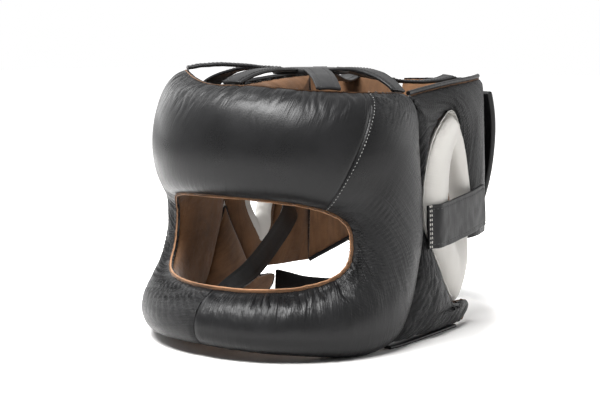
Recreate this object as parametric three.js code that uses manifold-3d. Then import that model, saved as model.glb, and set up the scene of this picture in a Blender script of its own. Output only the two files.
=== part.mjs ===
// Boxing headgear with a face bar. Millimetres, +Z up, the face looks along -Y, the wearer's left is +X.
import * as THREE from 'three';
import { mergeVertices } from 'three/addons/utils/BufferGeometryUtils.js';
import Module from 'manifold-3d';

const wasm = await Module();
wasm.setup();

// Head form: the seams of all padding lie on one curved wall round the head.
// Its size is measured at the brow, and the chin and crown differ from that by a few millimetres.
const headWidth = 188;
const headLength = 232;
const faceReach = 101;
const browWall = { z: 115, side: headWidth / 2, front: faceReach, rear: headLength - faceReach };
const wallAt = (z, wider, forward, back) => (
  { z, side: browWall.side + wider, front: browWall.front + forward, rear: browWall.rear + back }
);
const chinWall = wallAt(25, 3, 15, -4);
const crownWall = wallAt(200, -4, -11, 7);
const frontRoundness = 2.15;
const rearRoundness = 7;
const backAngle = 180;

// Leather, lining and fits
const coverSkin = 2.2;
const liningSkin = 1.5;
const seatGap = 0.3;
const seamGap = 1.1;
const foamLip = 1.2;

// Mask: the padded ring of forehead, cheeks and face bar round the eye opening
const eyeOpening = { halfAngle: 55, middle: 79.5, halfHeight: 33, cornerDrop: 3, roundness: 3 };
const foreheadTop = 191;
const templeTop = 184;
const rimRise = { from: 8, left: -4, right: 9 };
const templeAngle = 89;
const creaseAngle = 95.5;
const barUnderside = 7;
const cheekUnderside = -0.5;
const foreheadBulge = 23;
const cheekBulge = 16;
const barBulge = 20;
const foreheadLiningBulge = 11;
const cheekLiningBulge = 13;
const barLiningBulge = 12;
const seamTurn = 54;
const bindingRadius = 1.4;

// Stiff core inside the face bar
const coreAngle = 66;
const coreHeight = 16;
const coreThickness = 3;
const coreLevel = 27;

// Side panel: arches over the ear from the cheek to the back corner
const cornerAngle = 145;
const panelTopRear = 192;
const panelLowCorner = { left: 72, right: 27 };
const panelBulge = 8;
const panelLiningBulge = 9;
const pipingRadius = 1.8;

// Ear guard: a padded teardrop, with a teardrop hole for the ear
const guard = { front: 14, rear: 82, crest: 56, top: 167, middle: 94, foot: 60, bottom: 20 };
const hole = { front: 47, rear: 68, crest: 53, top: 138, middle: 86, foot: 57, bottom: 71 };
const guardRidge = 12.2;
const guardBack = 9;
const guardInner = 8;

// Jaw pad: below the ear guard, with the hem that the headgear stands on
const jawRear = 81;
const jawRearHeight = 21;
const jawBulge = 12;
const jawLiningBulge = 8;
const hemHeight = 2.6;
const hemWidth = 9;
const hemRear = 60;

// Back of the head
const backGap = 10;
const backTop = 190;
const backMiddleBottom = 75;
const backBulge = 5;
const backLiningBulge = 9;
const flapBottom = 78;
const flapTop = 181;
const underflapThickness = 3.5;
const flapThickness = 5.5;
const flapBow = 10;
const flapAngle = 150.5;
const patchThickness = 1.6;
const patchHeight = 64;
const patchAngle = 19;

// Side strap on the wearer's left
const sideStrap = { front: 11, rear: 90, level: 85, rise: 9, width: 33, thickness: 2.6 };
const strapPatchLength = 7;
const strapPatchHeight = 24;

// Crown
const crownHeight = 199;
const crownCentreY = 6;
const crownPadRadius = 30;
const crownPadThickness = 5;
const crownStrap = { width: 18, thickness: 2.4, hollow: 1 };
const crownStraps = {
  front: { angle: 0, arch: 3 },
  temple: { angle: 46, arch: 2 },
  side: { angle: 84, arch: 6 },
  rear: { angle: 160, arch: -7 },
};

// Chin straps
const chinStrap = { width: 22, thickness: 2.6 };
const longStrapRoot = { rear: -17, front: -28 };
const longStrapLevel = 40;
const diagonalStrap = {
  rearEnd: { y: 96, z: 100, hollow: 2 },
  hanging: [[-56, 52, 76], [-35, 0, 60], [-17, -50, 48]],
  barEnd: { angle: 6, level: 22, hollow: 2.5 },
  turn: [0.7, 0.5, -0.55],
  width: 15,
};

const degree = Math.PI / 180;
const group = new THREE.Group();

const finishes = {
  leather: { color: 0x1c1c1e, roughness: 0.42, metalness: 0 },
  white: { color: 0xd8d5cf, roughness: 0.5, metalness: 0 },
  suede: { color: 0x6f4a2e, roughness: 0.95, metalness: 0 },
  foam: { color: 0x4a4a4c, roughness: 0.9, metalness: 0 },
  core: { color: 0x2e2e30, roughness: 0.6, metalness: 0 },
  binding: { color: 0x8a5a36, roughness: 0.85, metalness: 0 },
  hook: { color: 0x161617, roughness: 0.95, metalness: 0 },
};

function addMesh(name, geometry, finish) {
  geometry.deleteAttribute('uv');
  geometry.deleteAttribute('normal');
  geometry.computeVertexNormals();
  const mesh = new THREE.Mesh(geometry, new THREE.MeshStandardMaterial(finishes[finish]));
  mesh.name = name;
  group.add(mesh);
  return mesh;
}

// Quadratic through the three heights of the head form
function wallSize(key, z) {
  const [a, b, c] = [chinWall, browWall, crownWall];
  const la = ((z - b.z) * (z - c.z)) / ((a.z - b.z) * (a.z - c.z));
  const lb = ((z - a.z) * (z - c.z)) / ((b.z - a.z) * (b.z - c.z));
  const lc = ((z - a.z) * (z - b.z)) / ((c.z - a.z) * (c.z - b.z));
  return a[key] * la + b[key] * lb + c[key] * lc;
}

// Point of the wall's plan at an angle: 0 is the face, 90 the wearer's left, 180 the back
function planPoint(angle, z) {
  const s = Math.sin(angle * degree);
  const c = Math.cos(angle * degree);
  const ahead = c > 0;
  const n = ahead ? frontRoundness : rearRoundness;
  const reach = wallSize(ahead ? 'front' : 'rear', z);
  const side = wallSize('side', z);
  const r = (Math.abs(s / side) ** n + Math.abs(c / reach) ** n) ** (-1 / n);
  return new THREE.Vector2(r * s, -r * c);
}

// Point at distance h outside the wall
function wallPoint(angle, z, h = 0) {
  const step = 0.2;
  const p = planPoint(angle, z);
  const tangent = planPoint(angle + step, z).sub(planPoint(angle - step, z)).normalize();
  return new THREE.Vector3(p.x + tangent.y * h, p.y - tangent.x * h, z);
}

// Angle at which the wall stands a given distance behind the ears on the wearer's left
function angleAt(y, z) {
  let [low, high] = [20, 178];
  for (let i = 0; i < 40; i += 1) {
    const middle = (low + high) / 2;
    if (planPoint(middle, z).y < y) low = middle;
    else high = middle;
  }
  return (low + high) / 2;
}

const sidePoint = (y, z) => ({ angle: angleAt(y, z), z });
const lerp = THREE.MathUtils.lerp;
const blend = (p, q, t) => ({ angle: lerp(p.angle, q.angle, t), z: lerp(p.z, q.z, t) });
const signedPower = (v, e) => Math.sign(v) * Math.abs(v) ** e;

// Smooth outline through points given as { angle, z }
function outline(points, closed = false) {
  const knots = points.map((p) => new THREE.Vector3(p.angle, p.z, 0));
  const curve = new THREE.CatmullRomCurve3(knots, closed, 'centripetal');
  return (t) => {
    const v = curve.getPoint(t);
    return { angle: v.x, z: v.y };
  };
}

// Closed solid between two sheets of points: rows run along the piece, columns across it
function slab(rows, closed) {
  const across = rows[0].top.length;
  const positions = [];
  const index = [];
  for (const row of rows) for (const p of [...row.top, ...row.bottom]) positions.push(p.x, p.y, p.z);
  const top = (i, j) => (i % rows.length) * 2 * across + j;
  const bottom = (i, j) => top(i, j) + across;
  const quad = (a, b, c, d) => index.push(a, b, c, a, c, d);
  const spans = closed ? rows.length : rows.length - 1;
  for (let i = 0; i < spans; i += 1) {
    for (let j = 0; j < across - 1; j += 1) {
      quad(top(i, j), top(i + 1, j), top(i + 1, j + 1), top(i, j + 1));
      quad(bottom(i, j), bottom(i, j + 1), bottom(i + 1, j + 1), bottom(i + 1, j));
    }
    quad(top(i, 0), bottom(i, 0), bottom(i + 1, 0), top(i + 1, 0));
    const last = across - 1;
    quad(top(i, last), top(i + 1, last), bottom(i + 1, last), bottom(i, last));
  }
  if (!closed) {
    const end = rows.length - 1;
    for (let j = 0; j < across - 1; j += 1) {
      quad(top(0, j), top(0, j + 1), bottom(0, j + 1), bottom(0, j));
      quad(top(end, j), bottom(end, j), bottom(end, j + 1), top(end, j + 1));
    }
  }
  const geometry = new THREE.BufferGeometry();
  geometry.setAttribute('position', new THREE.Float32BufferAttribute(positions, 3));
  geometry.setIndex(index);
  return facingOut(geometry);
}

// Turns the faces over when the solid's volume comes out negative
function facingOut(geometry) {
  const p = geometry.attributes.position;
  const index = geometry.index.array;
  const [a, b, c] = [new THREE.Vector3(), new THREE.Vector3(), new THREE.Vector3()];
  let volume = 0;
  for (let i = 0; i < index.length; i += 3) {
    a.fromBufferAttribute(p, index[i]);
    b.fromBufferAttribute(p, index[i + 1]);
    c.fromBufferAttribute(p, index[i + 2]);
    volume += a.dot(b.cross(c));
  }
  if (volume < 0) {
    for (let i = 0; i < index.length; i += 3) [index[i], index[i + 1]] = [index[i + 1], index[i]];
  }
  return geometry;
}

// Cushion section: height across the width, full in the middle and drawn in at both seams
const crown = (t) => Math.sqrt(Math.max(0, 1 - (2 * t - 1) ** 2));
const acrossSteps = (count) => Array.from({ length: count + 1 }, (_, i) => (1 - Math.cos((Math.PI * i) / count)) / 2);

// One layer line of a cushion section, drawn in from the seams and from the crown
function layerLine(station, outward, inset, lip, count) {
  const { inner, outer, width } = station;
  const bulge = outward ? station.bulge : -station.lining;
  const side = Math.sign(bulge);
  const base = (side * seatGap) / 2;
  const height = Math.max(0.4, Math.abs(bulge) - seatGap / 2 - inset);
  const margin = Math.min(inset + lip, width * 0.4);
  return acrossSteps(count).map((t) => {
    const across = (margin + (width - 2 * margin) * t) / width;
    const p = blend(inner, outer, across);
    return wallPoint(p.angle, p.z, base + side * height * crown(t));
  });
}

function stationsBetween(innerEdge, outerEdge, count, closed, bulge, lining) {
  const total = closed ? count : count + 1;
  return Array.from({ length: total }, (_, i) => {
    const s = i / count;
    const [inner, outer] = [innerEdge(s), outerEdge(s)];
    const a = wallPoint(inner.angle, inner.z);
    const width = a.distanceTo(wallPoint(outer.angle, outer.z));
    return { s, inner, outer, width, bulge: bulge(s), lining: lining(s) };
  });
}

// Leather or lining shell of a cushion
function shellRows(stations, outward, skin, count) {
  return stations.map((station) => ({
    top: layerLine(station, outward, 0, 0, count),
    bottom: layerLine(station, outward, skin, 0, count),
  }));
}

const shell = (stations, outward, skin, count, closed) => slab(shellRows(stations, outward, skin, count), closed);

// Part of a shell, drawn back by half a seat gap at both cut ends
function cutRows(rows, from, to) {
  const moved = (row, next) => {
    const share = seatGap / 2 / row.top[1].distanceTo(next.top[1]);
    const line = (side) => row[side].map((p, i) => p.clone().lerp(next[side][i], share));
    return { top: line('top'), bottom: line('bottom') };
  };
  const part = rows.slice(from, to + 1);
  const last = part.length - 1;
  return [moved(part[0], part[1]), ...part.slice(1, last), moved(part[last], part[last - 1])];
}

// Foam between the two shells, or one half of it
function foam(stations, count, closed, half = 'whole') {
  const line = (station, outward) =>
    layerLine(station, outward, (outward ? coverSkin : liningSkin) + seatGap, foamLip, count);
  const flat = (station, side) =>
    layerLine({ ...station, bulge: seatGap, lining: seatGap }, side > 0, coverSkin, seatGap + foamLip, count);
  const rows = stations.map((station) => ({
    top: half === 'inner' ? flat(station, -1) : line(station, true),
    bottom: half === 'outer' ? flat(station, 1) : line(station, false),
  }));
  return slab(rows, closed);
}

function toManifold(geometry) {
  const bare = geometry.clone();
  bare.deleteAttribute('uv');
  bare.deleteAttribute('normal');
  const merged = mergeVertices(bare, 1e-4);
  return new wasm.Manifold(new wasm.Mesh({
    numProp: 3,
    vertProperties: new Float32Array(merged.attributes.position.array),
    triVerts: new Uint32Array(merged.index.array),
  }));
}

function fromManifold(solid) {
  const mesh = solid.getMesh();
  const geometry = new THREE.BufferGeometry();
  geometry.setAttribute('position', new THREE.Float32BufferAttribute(mesh.vertProperties, 3));
  geometry.setIndex(Array.from(mesh.triVerts));
  return geometry;
}

// Cuts away what lies under a level, for flat rests
function restFlat(geometry, level) {
  const [reach, depth] = [3 * headLength, headLength / 2];
  const block = new THREE.BoxGeometry(reach, reach, depth).translate(0, 0, level - depth / 2);
  return fromManifold(toManifold(geometry).subtract(toManifold(block)));
}

// Round tube along a path; a closed path gives a ring
function tube(points, radius, closed, sides = 6) {
  const curve = new THREE.CatmullRomCurve3(points, closed, 'centripetal');
  const steps = closed ? points.length : points.length - 1;
  const frames = curve.computeFrenetFrames(steps, closed);
  const rows = [];
  const total = closed ? steps : steps + 1;
  for (let i = 0; i < total; i += 1) {
    const centre = curve.getPointAt(i / steps);
    const ring = Array.from({ length: sides }, (_, k) => {
      const turn = (2 * Math.PI * k) / sides;
      return centre.clone()
        .addScaledVector(frames.normals[i], radius * Math.cos(turn))
        .addScaledVector(frames.binormals[i], radius * Math.sin(turn));
    });
    const halfCount = sides / 2;
    rows.push({
      top: ring.slice(0, halfCount + 1),
      bottom: [ring[0], ...ring.slice(halfCount + 1).reverse(), ring[halfCount]],
    });
  }
  const geometry = slab(rows, closed);
  return facingOut(mergeVertices(geometry, 1e-4));
}

// Flat strap along a path, with its width direction given at each point
function strap(path, widthAt, width, thickness) {
  const rows = path.map((centre, i) => {
    const ahead = path[Math.min(i + 1, path.length - 1)];
    const behind = path[Math.max(i - 1, 0)];
    const tangent = ahead.clone().sub(behind).normalize();
    const across = widthAt(i).clone().addScaledVector(tangent, -widthAt(i).dot(tangent)).normalize();
    const normal = tangent.clone().cross(across).normalize();
    const corner = (u, v) => centre.clone()
      .addScaledVector(across, (u * width) / 2)
      .addScaledVector(normal, (v * thickness) / 2);
    return { top: [corner(-1, 1), corner(0, 1), corner(1, 1)], bottom: [corner(-1, -1), corner(0, -1), corner(1, -1)] };
  });
  return slab(rows, false);
}

const mirrored = (geometry) => {
  const copy = geometry.clone();
  copy.scale(-1, 1, 1);
  return facingOut(copy);
};

// Mask edges. The eye opening's turn leans to its corners, so that the seams run down to them.
function eyeEdge(ringTurn) {
  const turn = ringTurn - 0.15 * Math.sin(2 * ringTurn);
  const e = 2 / eyeOpening.roundness;
  const angle = eyeOpening.halfAngle * signedPower(Math.cos(turn), e);
  const rise = signedPower(Math.sin(turn), e);
  const drop = rise > 0 ? eyeOpening.cornerDrop * (angle / eyeOpening.halfAngle) ** 2 * rise : 0;
  return { angle, z: eyeOpening.middle + eyeOpening.halfHeight * rise - drop };
}

const cheekHeight = (share) => lerp(cheekUnderside, templeTop, share);
const maskHalf = outline([
  { angle: -25, z: foreheadTop },
  { angle: 0, z: foreheadTop },
  { angle: 25, z: foreheadTop },
  { angle: 50, z: foreheadTop },
  { angle: 72, z: lerp(foreheadTop, templeTop, 0.6) },
  { angle: templeAngle, z: templeTop - 2 },
  { angle: lerp(templeAngle, creaseAngle, 0.6), z: cheekHeight(0.825) },
  { angle: lerp(templeAngle, creaseAngle, 0.9), z: cheekHeight(0.64) },
  { angle: creaseAngle, z: cheekHeight(0.46) },
  { angle: creaseAngle - 5, z: cheekHeight(0.305) },
  { angle: creaseAngle - 11.5, z: cheekHeight(0.155) },
  { angle: creaseAngle - 21.5, z: cheekHeight(0.04) },
  { angle: creaseAngle - 37, z: cheekUnderside },
  { angle: 30, z: lerp(barUnderside, cheekUnderside, 0.4) },
  { angle: 0, z: barUnderside },
  { angle: -30, z: lerp(barUnderside, cheekUnderside, 0.4) },
]);
const maskFirst = 1 / 15;
const maskLast = 14 / 15;

// The soft forehead's rim stands higher on the wearer's right than on the left
function rimLift(angle, side) {
  const share = THREE.MathUtils.clamp((angle - rimRise.from) / (templeAngle - rimRise.from), 0, 1);
  return rimRise[side] * Math.sin(Math.PI * share) ** 2;
}

// Turn runs from 90 degrees at the forehead through 0 at the wearer's left to -90 at the bar
function maskEdge(turn) {
  const side = Math.cos(turn) >= 0 ? 'left' : 'right';
  const upward = THREE.MathUtils.clamp(Math.sin(turn), -1, 1);
  const p = maskHalf(lerp(maskFirst, maskLast, (Math.PI / 2 - Math.asin(upward)) / Math.PI));
  const lift = upward > 0 ? rimLift(p.angle, side) : 0;
  return { angle: side === 'left' ? p.angle : -p.angle, z: p.z + lift };
}

const upness = (turn) => Math.max(0, Math.sin(turn)) ** 1.5;
const downness = (turn) => Math.max(0, -Math.sin(turn)) ** 1.5;
const maskBulge = (turn) =>
  cheekBulge + (foreheadBulge - cheekBulge) * upness(turn) + (barBulge - cheekBulge) * downness(turn);
const maskLining = (turn) =>
  cheekLiningBulge + (foreheadLiningBulge - cheekLiningBulge) * upness(turn)
  + (barLiningBulge - cheekLiningBulge) * downness(turn);

function maskStations(from, to, count, closed) {
  const turnAt = (s) => lerp(from, to, s) * degree;
  return stationsBetween(
    (s) => eyeEdge(turnAt(s)),
    (s) => maskEdge(turnAt(s)),
    count,
    closed,
    (s) => maskBulge(turnAt(s)),
    (s) => maskLining(turnAt(s)),
  );
}

const maskColumns = 6;
const sideColumns = 5;
const maskRows = 40;

function buildMask() {
  const ring = maskStations(-90, 270, maskRows, true);
  const rows = shellRows([...ring, ring[0]], true, coverSkin, maskColumns);
  const leftSeam = Math.round(((90 + seamTurn) / 360) * maskRows);
  const rightSeam = maskRows - leftSeam;
  const covers = [
    ['forehead_cover', leftSeam, rightSeam],
    ['cheek_cover_right', rightSeam, maskRows],
    ['cheek_cover_left', 0, leftSeam],
  ];
  for (const [name, from, to] of covers) {
    addMesh(name, restFlat(slab(cutRows(rows, from, to), false), 0), 'leather');
  }
  addMesh('mask_lining', restFlat(shell(ring, false, liningSkin, maskColumns, true), 0), 'suede');

  const coreRows = (thickness, height, reach) => Array.from({ length: 25 }, (_, i) => {
    const angle = lerp(-reach, reach, i / 24);
    const at = (z, h) => wallPoint(angle, z, h);
    const [low, high, half] = [coreLevel - height / 2, coreLevel + height / 2, thickness / 2];
    return { top: [at(low, half), at(high, half)], bottom: [at(low, -half), at(high, -half)] };
  });
  addMesh('face_bar_core', slab(coreRows(coreThickness, coreHeight, coreAngle), false), 'core');
  const clear = 2 * seatGap;
  const groove = toManifold(slab(coreRows(coreThickness + clear, coreHeight + clear, coreAngle + 1), false));
  for (const half of ['outer', 'inner']) {
    const solid = toManifold(foam(ring, maskColumns, true, half)).subtract(groove);
    addMesh(`mask_foam_${half}`, fromManifold(solid), 'foam');
  }

  const beads = ring.map(({ inner, outer, width }) => {
    const q = blend(inner, outer, -(bindingRadius + seamGap) / width);
    return wallPoint(q.angle, q.z);
  });
  addMesh('eye_opening_binding', tube(beads, bindingRadius, true), 'binding');
}

// Left-hand piece, and its mirror image on the right
function addPair(name, geometry, finish) {
  addMesh(`${name}_left`, geometry, finish);
  addMesh(`${name}_right`, mirrored(geometry), finish);
}

// Cover, lining and foam of a padded panel on each side
function addCushion(name, stationsOf, closed, coverFinish) {
  for (const side of ['left', 'right']) {
    const stations = stationsOf(side);
    const placed = (geometry) => (side === 'left' ? geometry : mirrored(geometry));
    const layers = [
      ['cover', shell(stations, true, coverSkin, sideColumns, closed), coverFinish],
      ['lining', shell(stations, false, liningSkin, sideColumns, closed), 'suede'],
      ['foam', foam(stations, sideColumns, closed), 'foam'],
    ];
    for (const [layer, geometry, finish] of layers) addMesh(`${name}_${layer}_${side}`, placed(geometry), finish);
  }
}

// Moves a wall point along the wall by a few millimetres
function shifted(p, alongPlan, up = 0) {
  const reach = planPoint(p.angle, p.z).length();
  return { angle: p.angle + alongPlan / reach / degree, z: p.z + up };
}

const knotTurn = (k) => (90 - (180 * (k - 1)) / 13) * degree;
const creaseEdge = (k) => shifted(maskEdge(knotTurn(k)), seamGap);

// Teardrop in the side wall: front, crest, rear and foot, drawn in or out by a margin.
// Its knots are counted from the middle of the front edge, over the crest.
function teardrop(d, margin) {
  const high = d.top - d.middle;
  const low = d.middle - d.bottom;
  const [front, rear, top, bottom] = [d.front - margin, d.rear + margin, d.top + margin, d.bottom - margin];
  const knots = [
    sidePoint(front, d.middle),
    sidePoint(lerp(front, d.crest, 0.06), d.middle + high * 0.38),
    sidePoint(lerp(front, d.crest, 0.36), d.middle + high * 0.76),
    sidePoint(d.crest, top),
    sidePoint(lerp(rear, d.crest, 0.52), d.middle + high * 0.78),
    sidePoint(lerp(rear, d.crest, 0.19), d.middle + high * 0.42),
    sidePoint(rear, d.middle + high * 0.06),
    sidePoint(lerp(rear, d.foot, 0.3), d.middle - low * 0.36),
    sidePoint(lerp(rear, d.foot, 0.35), d.middle - low * 0.72),
    sidePoint(d.foot + margin * 0.5, bottom),
    sidePoint(lerp(d.foot, front, 0.22) - margin * 0.4, d.middle - low * 0.88),
    sidePoint(lerp(d.foot, front, 0.56) - margin * 0.4, d.middle - low * 0.55),
    sidePoint(lerp(d.foot, front, 0.86) - margin * 0.3, d.middle - low * 0.24),
  ];
  const path = outline(knots, true);
  return (knot) => path(knot / knots.length);
}
const guardKnots = 13;
const crestKnot = 3;
const footKnot = 9;

const cornerTop = { angle: cornerAngle, z: panelTopRear };
const cornerBottom = (side) => ({ angle: cornerAngle, z: panelLowCorner[side] });

function buildSides() {
  const guardEdge = teardrop(guard, 0);
  const aroundGuard = teardrop(guard, seamGap);
  const holeEdge = teardrop(hole, 0);

  // Side panel: up the cheek crease, along the top and down the back corner.
  // The right one comes further down behind the ear guard.
  const narrow = (s) => Math.min(1, 0.35 + 4 * s);
  const panelStart = 0.5;
  const panelEnd = { left: footKnot - 2, right: footKnot - 0.5 };
  const templeCorner = crestKnot - 1;
  const rearCorner = crestKnot + 1.5;
  const panelStations = (side) => {
    const outer = (k) => {
      if (k < templeCorner) return creaseEdge(lerp(8, 5, (k - panelStart) / (templeCorner - panelStart)));
      if (k < rearCorner) return blend(creaseEdge(5), cornerTop, (k - templeCorner) / (rearCorner - templeCorner));
      return blend(cornerTop, cornerBottom(side), (k - rearCorner) / (panelEnd[side] - rearCorner));
    };
    const creaseSpans = 6;
    const spans = creaseSpans + 2 * (panelEnd[side] - templeCorner);
    const share = creaseSpans / spans;
    const knotAt = (s) => (s < share
      ? lerp(panelStart, templeCorner, s / share)
      : lerp(templeCorner, panelEnd[side], (s - share) / (1 - share)));
    return stationsBetween(
      (s) => aroundGuard(knotAt(s)), (s) => outer(knotAt(s)), spans, false,
      (s) => panelBulge * narrow(s), (s) => panelLiningBulge * narrow(s),
    );
  };
  addCushion('side_panel', panelStations, false, 'leather');

  // Ear guard: the ridge is highest above and ahead of the ear hole
  const ahead = (s) => (1 + Math.cos(2 * Math.PI * (s - 1 / guardKnots))) / 2;
  const guardStations = stationsBetween(
    (s) => holeEdge(s * guardKnots), (s) => guardEdge(s * guardKnots), 2 * guardKnots, true,
    (s) => lerp(guardBack, guardRidge, ahead(s)), () => guardInner,
  );
  addCushion('ear_guard', () => guardStations, true, 'white');

  // Jaw pad: widens downward from the crease to its rolled rear end
  const jawBase = hemHeight + seatGap;
  const jawTopKnot = guardKnots - 0.5;
  const jawTurnKnot = footKnot + 1;
  const jawEnd = outline([
    aroundGuard(jawTurnKnot),
    shifted(sidePoint(guard.foot, jawRearHeight - 2), 0),
    sidePoint(jawRear, jawRearHeight - 3),
    sidePoint(jawRear + 1, jawRearHeight / 2),
    sidePoint(jawRear - 6, jawBase),
  ]);
  const spans = 10;
  const guardShare = (2 * (jawTopKnot - jawTurnKnot)) / spans;
  const jawRearEdge = (s) => {
    if (s < guardShare) return aroundGuard(lerp(jawTopKnot, jawTurnKnot, s / guardShare));
    return jawEnd((s - guardShare) / (1 - guardShare));
  };
  const jawFront = (s) => {
    const p = creaseEdge(lerp(8.5, 11.2, s));
    return { angle: p.angle, z: Math.max(p.z, jawBase) };
  };
  const swell = (s) => Math.min(1, 0.3 + 2.2 * s) * (s > 0.7 ? 1 - 0.6 * ((s - 0.7) / 0.3) ** 2 : 1);
  const jawStations = stationsBetween(
    jawFront, jawRearEdge, spans, false, (s) => jawBulge * swell(s), (s) => jawLiningBulge * swell(s),
  );
  addCushion('jaw_pad', () => jawStations, false, 'leather');
}

// Hem under the jaw pad, a flat leather strip on its edge
function buildHems() {
  const jawLine = Array.from({ length: 12 }, (_, i) => {
    const front = creaseEdge(11.2);
    const rear = sidePoint(hemRear, 0);
    return lerp(front.angle, rear.angle, i / 11);
  });
  const rows = jawLine.map((angle) => {
    const at = (h, z) => wallPoint(angle, z, h);
    return {
      top: [at(-hemWidth / 2, hemHeight), at(hemWidth / 2, hemHeight)],
      bottom: [at(-hemWidth / 2, 0), at(hemWidth / 2, 0)],
    };
  });
  addPair('jaw_hem', slab(rows, false), 'leather');
}

function buildPiping() {
  const edge = Array.from({ length: 11 }, (_, i) => {
    const p = blend(creaseEdge(5), cornerTop, lerp(0.06, 0.98, i / 10));
    return wallPoint(p.angle, p.z + pipingRadius + seatGap);
  });
  addPair('top_piping', tube(edge, pipingRadius, false), 'leather');
}

// Two back panels with a gap between them, held together by the flap over an underflap
function buildBack() {
  const backStart = shifted(cornerTop, 2 * seatGap).angle;
  const backEnd = backAngle - backGap / 2 / wallSize('rear', flapTop) / degree;
  const edge = (corner, middle) => (s) => ({ angle: lerp(backStart, backEnd, s), z: lerp(corner, middle, s) });
  addCushion('back_panel', (side) => stationsBetween(
    edge(panelLowCorner[side], backMiddleBottom), edge(panelTopRear, backTop), 6, false,
    () => backBulge, () => backLiningBulge,
  ), false, 'leather');

  // A layer over the back panels, with a bow between its lower and upper edges
  const layer = (base, thickness, from, to, low, high, innerBow = flapBow) => {
    const rows = Array.from({ length: 15 }, (_, i) => {
      const angle = lerp(from, to, i / 14);
      const line = (h, bow) => [0, 0.25, 0.5, 0.75, 1].map((t) => {
        const z = lerp(low, high, t);
        const rise = (z - flapBottom) / (flapTop - flapBottom);
        return wallPoint(angle, z, h + bow * (1 - (2 * rise - 1) ** 2));
      });
      return { top: line(base + thickness, flapBow), bottom: line(base, innerBow) };
    });
    return slab(rows, false);
  };
  const mirrorAngle = 2 * backAngle - flapAngle;
  const underBase = backBulge + 2 * seatGap;
  const loopBase = underBase + underflapThickness + seatGap;
  const hookBase = loopBase + patchThickness + seatGap;
  const flapBase = hookBase + patchThickness + 2 * seatGap;
  const inset = 2;
  addMesh('rear_underflap', layer(
    underBase, underflapThickness, flapAngle + inset, mirrorAngle, flapBottom + 3, flapTop - 3, 0,
  ), 'leather');
  addMesh('rear_flap', layer(
    flapBase, flapThickness, flapAngle, mirrorAngle - inset, flapBottom, flapTop,
  ), 'leather');
  const middle = (flapBottom + flapTop) / 2;
  const patch = [backAngle, backAngle + patchAngle, middle - patchHeight / 2, middle + patchHeight / 2];
  addMesh('rear_loop_patch', layer(loopBase, patchThickness, ...patch), 'hook');
  addMesh('rear_hook_patch', layer(hookBase, patchThickness, ...patch), 'hook');
}

// Side strap: sewn at the crease, over the ear guard's ridge and on to the side panel
function buildSideStrap() {
  const half = sideStrap.thickness / 2;
  const patchStack = 2 * patchThickness + 3 * seatGap;
  const ridgeY = (guard.front + hole.front) / 2;
  const route = [
    [sideStrap.front, 8.5],
    [guard.front + 2, guardRidge * 0.85],
    [guard.front + 6, guardRidge + 1],
    [ridgeY, guardRidge + seatGap + half],
    [hole.front, guardRidge + seatGap + half],
    [hole.rear, guardBack + 5],
    [guard.rear, panelBulge + patchStack + half],
    [sideStrap.rear, panelBulge + patchStack + half],
  ];
  const knots = route.map(([y, h]) => {
    const share = (y - sideStrap.front) / (sideStrap.rear - sideStrap.front);
    const z = sideStrap.level + sideStrap.rise * share ** 1.4;
    return wallPoint(angleAt(y, z), z, h);
  });
  const curve = new THREE.CatmullRomCurve3(knots, false, 'centripetal');
  const path = Array.from({ length: 15 }, (_, i) => curve.getPoint(i / 14));
  const up = new THREE.Vector3(0, 0, 1);
  addMesh('side_strap', strap(path, () => up, sideStrap.width, sideStrap.thickness), 'leather');

  const patchAt = (level) => {
    const reach = [sideStrap.rear - strapPatchLength, sideStrap.rear - 1];
    const z = sideStrap.level + sideStrap.rise * 0.9;
    const h = panelBulge + seatGap + patchThickness / 2 + level * (patchThickness + seatGap);
    return [0, 0.5, 1].map((t) => wallPoint(angleAt(lerp(...reach, t), z), z, h));
  };
  const patches = [['side_loop_patch', 0], ['side_hook_patch', 1]];
  for (const [name, level] of patches) {
    addMesh(name, strap(patchAt(level), () => up, strapPatchHeight, patchThickness), 'hook');
  }
}

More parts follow.
